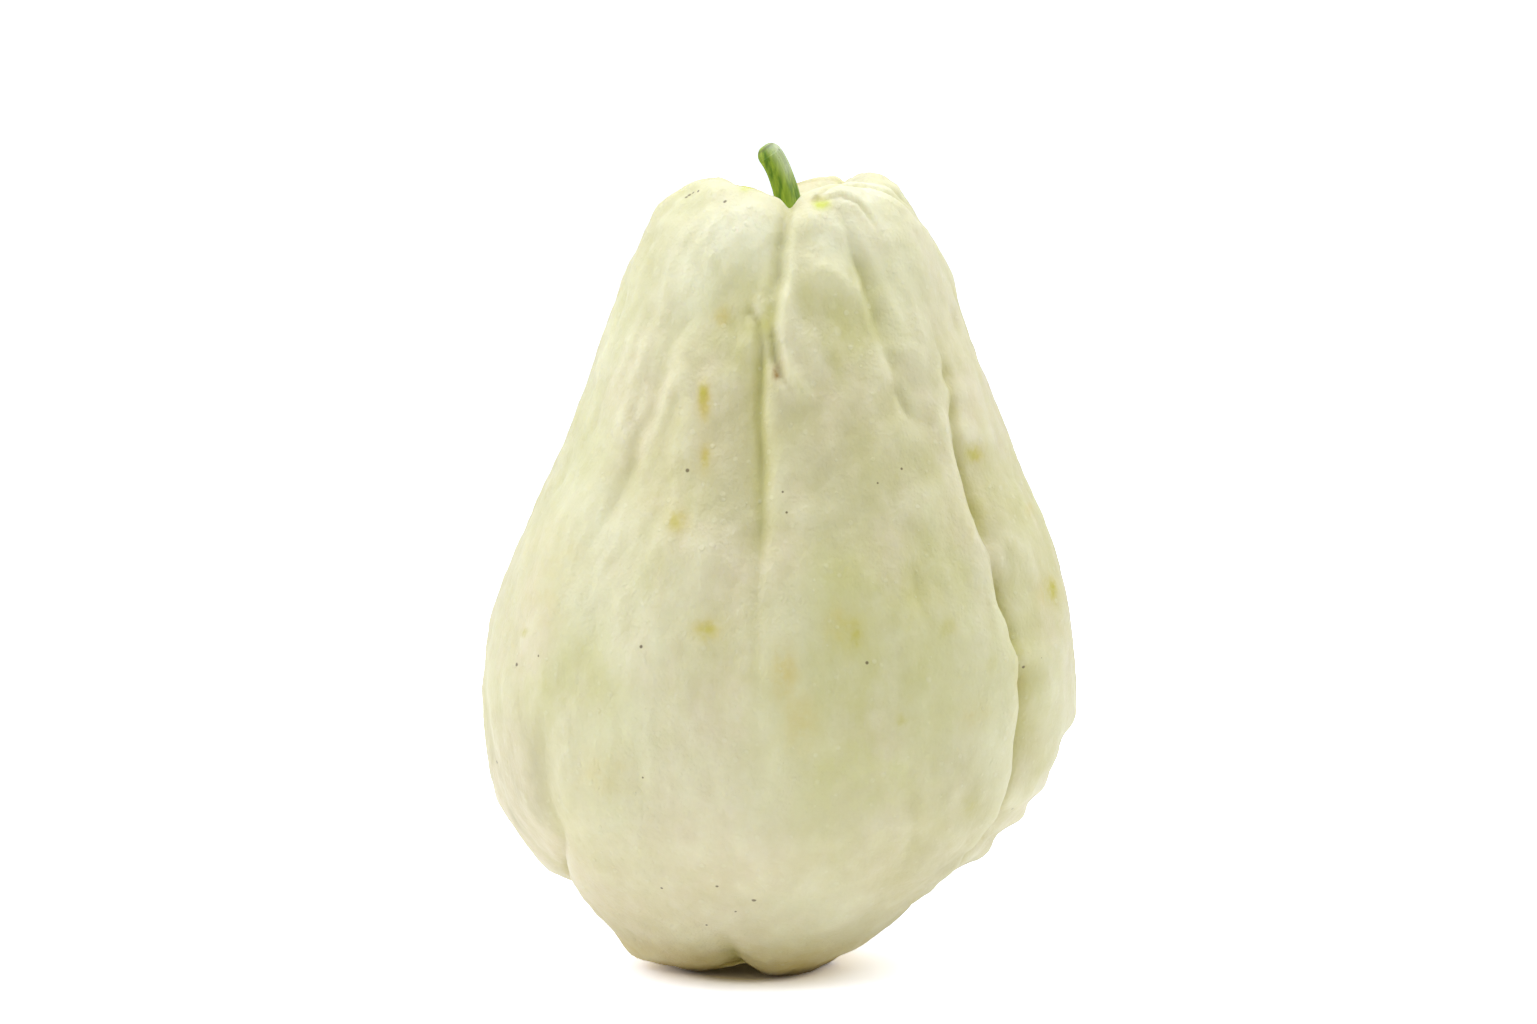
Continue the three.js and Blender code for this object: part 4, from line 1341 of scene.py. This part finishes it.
@dataclass(frozen=True)
class Stem:
    """The cut stem: a ribbed rod that leans to the left out of the hollow.

    Attributes:
        line: points of its middle line, in the fruit's own coordinates.
        radius: its usual radius.
        taper: rows of share of its length and share of its radius.
        ribs: number of ribs.
        rib_height: height of a rib as a share of the radius.
        twist: how far the ribs turn from root to cut, as an angle of their wave.
        fine_ribs: rows of height, number and twist of the finer ribs.
        edge: radius of the round where the side meets the cut.
        dip: depth of the cut's middle.
        columns: vertices round it.
        rows: rings along it.
        end_rings: rings of each of its two ends.
        finish: its skin.
    """

    line: tuple[Triple, ...] = (
        (2.1, 0.2, 119.6), (1.8, 0.1, 123.5), (1.2, 0, 127.4),
        (0.3, 0, 130.7), (-0.85, -0.1, 133.5), (-2.75, -0.2, 136.3),
    )
    radius: float = 2.0
    taper: tuple[Span, ...] = ((0, 1.12), (0.3, 1.08), (0.55, 1.02), (0.8, 1.0), (1, 1.0))
    ribs: int = 5
    rib_height: float = 0.05
    twist: float = 1.5
    fine_ribs: tuple[Triple, ...] = ((0.012, 23, 4), (0.008, 37, 0))
    edge: float = 1.95
    dip: float = 0.12
    columns: int = 120
    rows: int = 150
    end_rings: int = 26
    finish: StemFinish = StemFinish()

    def middle_line(self, share: Values) -> Points:
        """Points along the middle line, by cubics through its points in equal steps."""
        points = np.array(self.line)
        steps = np.linspace(0, 1, len(points))
        slopes = np.gradient(points, steps, axis=0)
        axes = [cubics_through(steps, points[:, axis], slopes[:, axis], share) for axis in range(3)]
        return np.stack(axes, -1)

    def surface(self) -> tuple[Points, dict[str, Values]]:
        """The rod's rings, from the middle of its root to the middle of the cut.

        Along the side, each ring is a circle of the taper's radius times
        1 + rib height * cos(ribs * turn), square to the middle line, with the
        finer ribs added. At the root the rings shrink to the middle. At the cut
        they shrink over a quarter round, and dip a little inside it. The waxy bloom,
        which also paints a sheen, sets in across the stem to the right, and along it towards the cut.

        Returns:
            The rings, and the values to store on them.
        """
        side_rows = self.rows - 2 * self.end_rings
        length = np.linalg.norm(np.diff(np.array(self.line), axis=0), axis=1).sum()
        last = 1 - self.edge / length
        quarter = np.linspace(0, np.pi / 2, self.end_rings)
        ends = np.zeros(self.end_rings), np.full(self.end_rings, last)
        share = np.concatenate([ends[0], np.linspace(0, last, side_rows), ends[1]])
        inward = np.concatenate([np.cos(quarter), np.zeros(side_rows), 1 - np.cos(quarter)])
        is_cut = np.arange(self.rows) >= self.rows - self.end_rings
        dip_span, cut_span, rim_middle, rim_width, cut_tint = (0.45, 0.9), (0.4, 0.6), 0.3, 0.12, 0.6
        bloom_across, bloom_along, bloom_least, bloom_tint = (-0.5, 1.3), (0.45, 0.85), 0.08, 0.95
        rounded = np.clip(inward * self.radius / self.edge, 0, 1)
        rise = self.edge * np.sqrt(1 - (1 - rounded) ** 2)
        lift = np.where(is_cut, rise - self.dip * smooth_step(inward, *dip_span), 0)
        step = 1e-3
        along = self.middle_line(np.minimum(share + step, 1)) - self.middle_line(np.maximum(share - step, 0))
        along /= np.linalg.norm(along, axis=-1, keepdims=True)
        centre = self.middle_line(share) + along * lift[:, None]
        side = np.cross([0, 1, 0], along)
        side /= np.linalg.norm(side, axis=-1, keepdims=True)
        front = np.cross(along, side)
        share, inward, is_cut = share[:, None], inward[:, None], is_cut[:, None]
        turn = 2 * np.pi * np.arange(self.columns)[None, :] / self.columns
        wave = np.cos(self.ribs * turn + self.twist * share)
        fine = sum(height * np.cos(count * turn + twist * share) for height, count, twist in self.fine_ribs)
        taper = smooth_through(self.taper, share)
        radius = self.radius * taper * (1 + self.rib_height * wave + fine) * (1 - inward)
        rings = centre[:, None, :] + side[:, None, :] * (radius * np.cos(turn))[..., None]
        rings = rings + front[:, None, :] * (radius * np.sin(turn))[..., None]
        # Bloom and painted sheen on the stem's right side, growing towards the cut.
        right = smooth_step(rings[..., 0] - centre[:, None, 0], *bloom_across)
        upper = bloom_least + (1 - bloom_least) * smooth_step(share, *bloom_along)
        values = {
            "rib": np.clip(wave, 0, 1) * (1 - inward),
            "bloom_and_sheen": right * upper * bloom_tint,
            "cut": is_cut * smooth_step(inward, *cut_span) * cut_tint,
            "rim": is_cut * np.exp(-(((inward - rim_middle) / rim_width) ** 2)) * cut_tint,
        }
        return rings, {name: np.broadcast_to(layer, radius.shape) for name, layer in values.items()}

    def build(self, effects: PlantEffects, shift: np.ndarray) -> bpy.types.Object:
        """Builds and dresses the stem, moved into the row's frame by the fruit's own shift."""
        rings, values = self.surface()
        mesh = closed_skin("chayote_stem", rings + shift)
        for name, layer in values.items():
            set_attribute(mesh, name, layer)
        mesh.materials.append(self.finish.material(effects))
        return add_piece(mesh, "stem")


@dataclass(frozen=True)
class Lamp:
    """A soft rectangular light.

    Attributes:
        name: its name.
        place: where it hangs, in metres.
        size: its width and height, in metres.
        power: its power in watts.
    """

    name: str
    place: Triple
    size: Span
    power: float

    def hang(self, target: Triple) -> bpy.types.Object:
        """Puts the light in the scene, turned to a target."""
        light = bpy.data.lights.new(self.name, "AREA")
        light.shape = "RECTANGLE"
        light.size, light.size_y = self.size
        light.energy = self.power
        holder = bpy.data.objects.new(self.name, light)
        holder.location = self.place
        away = Vector(target) - Vector(self.place)
        holder.rotation_euler = away.to_track_quat("-Z", "Y").to_euler()
        bpy.context.scene.collection.objects.link(holder)
        return holder


@dataclass(frozen=True)
class Studio:
    """A white floor in a white tent, with soft lights at the sides and above.

    Attributes:
        lamps: the lights.
        target: what the lights point at, in metres.
        floor_reach: half the floor's width, in metres.
        floor_tones: darkest and lightest grey of the floor.
        floor_glow: light that the floor gives the fruit from below.
        floor_gains: darkest and lightest red that the camera sees in the bright floor.
        floor_tint: its green and blue as shares of its red.
        foot_middle: middle of the spot that the fruit stands on, in metres.
        glow_reach: distances from there, in metres, over which the glow sets in.
        painted_contact_shadow: colour of the painted contact shadow that the camera sees in the floor at that
            spot.
        contact_shadow_reach: distances from there, in metres, over which the painted shadow fades.
        tent_front: brightness of the tent behind the camera.
        tent_back: brightness of the tent behind the fruit.
        tent_seen: brightness of the tent where the camera sees it.
    """

    lamps: tuple[Lamp, ...] = (
        Lamp("left_lamp", (-0.6, -0.1, 0.3), (0.6, 0.8), 1.55),
        Lamp("right_lamp", (0.6, 0.1, 0.3), (0.6, 0.8), 0.7),
        Lamp("top_lamp", (0.02, -0.1, 0.7), (0.8, 0.8), 4.3),
    )
    target: Triple = (0.0, 0.0, 0.07)
    floor_reach: float = 6.0
    floor_tones: Span = (0.88, 0.92)
    floor_glow: float = 0.16
    floor_gains: Span = (2.0, 2.04)
    floor_tint: Span = (1.02, 1.24)
    foot_middle: Triple = (-0.005, -0.003, 0.0)
    glow_reach: Span = (0.006, 0.018)
    painted_contact_shadow: Colour = (1.05, 0.95, 0.8, 1.0)
    contact_shadow_reach: Span = (0.0085, 0.013)
    tent_front: float = 0.12
    tent_back: float = 0.80
    tent_seen: float = 1.3

    def build(self) -> None:
        """Lays the floor, lights the tent and hangs the lamps."""
        self._floor()
        self._tent()
        for lamp in self.lamps:
            lamp.hang(self.target)
        bpy.context.scene.view_settings.view_transform = "Standard"

    def _floor(self) -> None:
        """A square of matt white at the height that the fruit stands on, which glows to light the fruit from
        below and holds a painted contact shadow round that spot.
        """
        reach = self.floor_reach
        corners = [(-reach, -reach, 0), (reach, -reach, 0), (reach, reach, 0), (-reach, reach, 0)]
        mesh = bpy.data.meshes.new("studio_floor")
        mesh.from_pydata(corners, [], [(0, 1, 2, 3)])
        material, shading = new_material("matt_white_floor")
        place = shading.add("TexCoord").outputs["Object"]
        cloud = shading.add("TexNoise", {"Vector": place, "Scale": 3.0, "Detail": 2.0}).outputs["Fac"]
        tone = shading.blend(cloud, *((grey, grey, grey, 1) for grey in self.floor_tones))
        gap = shading.distance(place, self.foot_middle)
        strength = shading.math("MULTIPLY", shading.spread(gap, *self.glow_reach), self.floor_glow)
        glow = shading.add("Emission", {"Color": tone, "Strength": strength})
        matt = shading.add("BsdfDiffuse", {"Color": tone})
        lit = shading.add("AddShader", {0: glow.outputs[0], 1: matt.outputs[0]})
        green, blue = self.floor_tint
        bright = shading.blend(cloud, *((gain, gain * green, gain * blue, 1) for gain in self.floor_gains))
        # Painted contact shadow in the floor that the camera sees round the fruit's foot.
        gained = shading.blend(shading.spread(gap, *self.contact_shadow_reach), self.painted_contact_shadow, bright)
        shown = shading.add("BsdfDiffuse", {"Color": gained})
        seen = shading.add("LightPath").outputs["Is Camera Ray"]
        mixed = shading.add("MixShader", {0: seen, 1: lit.outputs[0], 2: shown.outputs[0]})
        end = material.node_tree.nodes["Material Output"]
        material.node_tree.links.new(mixed.outputs[0], end.inputs["Surface"])
        mesh.materials.append(material)
        floor = bpy.data.objects.new("studio_floor", mesh)
        bpy.context.scene.collection.objects.link(floor)

    def _tent(self) -> None:
        """A white surround that is dimmer behind the camera, and plain white where the camera sees it."""
        world = bpy.data.worlds.new("white_tent")
        bpy.context.scene.world = world
        world.use_nodes = True
        shading = Shading(world.node_tree)
        back = world.node_tree.nodes["Background"]
        back.inputs["Color"].default_value = (1, 1, 1, 1)
        way = shading.add("TexCoord").outputs["Generated"]
        deep = shading.add("SeparateXYZ", {0: way}).outputs["Y"]
        glow = shading.spread(deep, -1.0, 0.4, self.tent_front, self.tent_back)
        seen = shading.add("LightPath").outputs["Is Camera Ray"]
        mix = shading.add("Mix", {0: seen, 2: glow, 3: self.tent_seen}, data_type="FLOAT")
        world.node_tree.links.new(mix.outputs[0], back.inputs["Strength"])


def main() -> None:
    """Builds the squash and its studio."""
    logging.basicConfig(level=logging.INFO, format="%(name)s: %(message)s")
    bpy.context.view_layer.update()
    view = PhotoView()
    view.add_camera()
    Studio().build()
    effects = PlantEffects()
    fruit = Fruit(view)
    shift = fruit.place()
    for piece in (fruit.build(effects, shift), Stem().build(effects, shift)):
        LOG.info("%s: %d vertices, %d faces", piece.name, len(piece.data.vertices), len(piece.data.polygons))


if __name__ == "__main__":
    main()
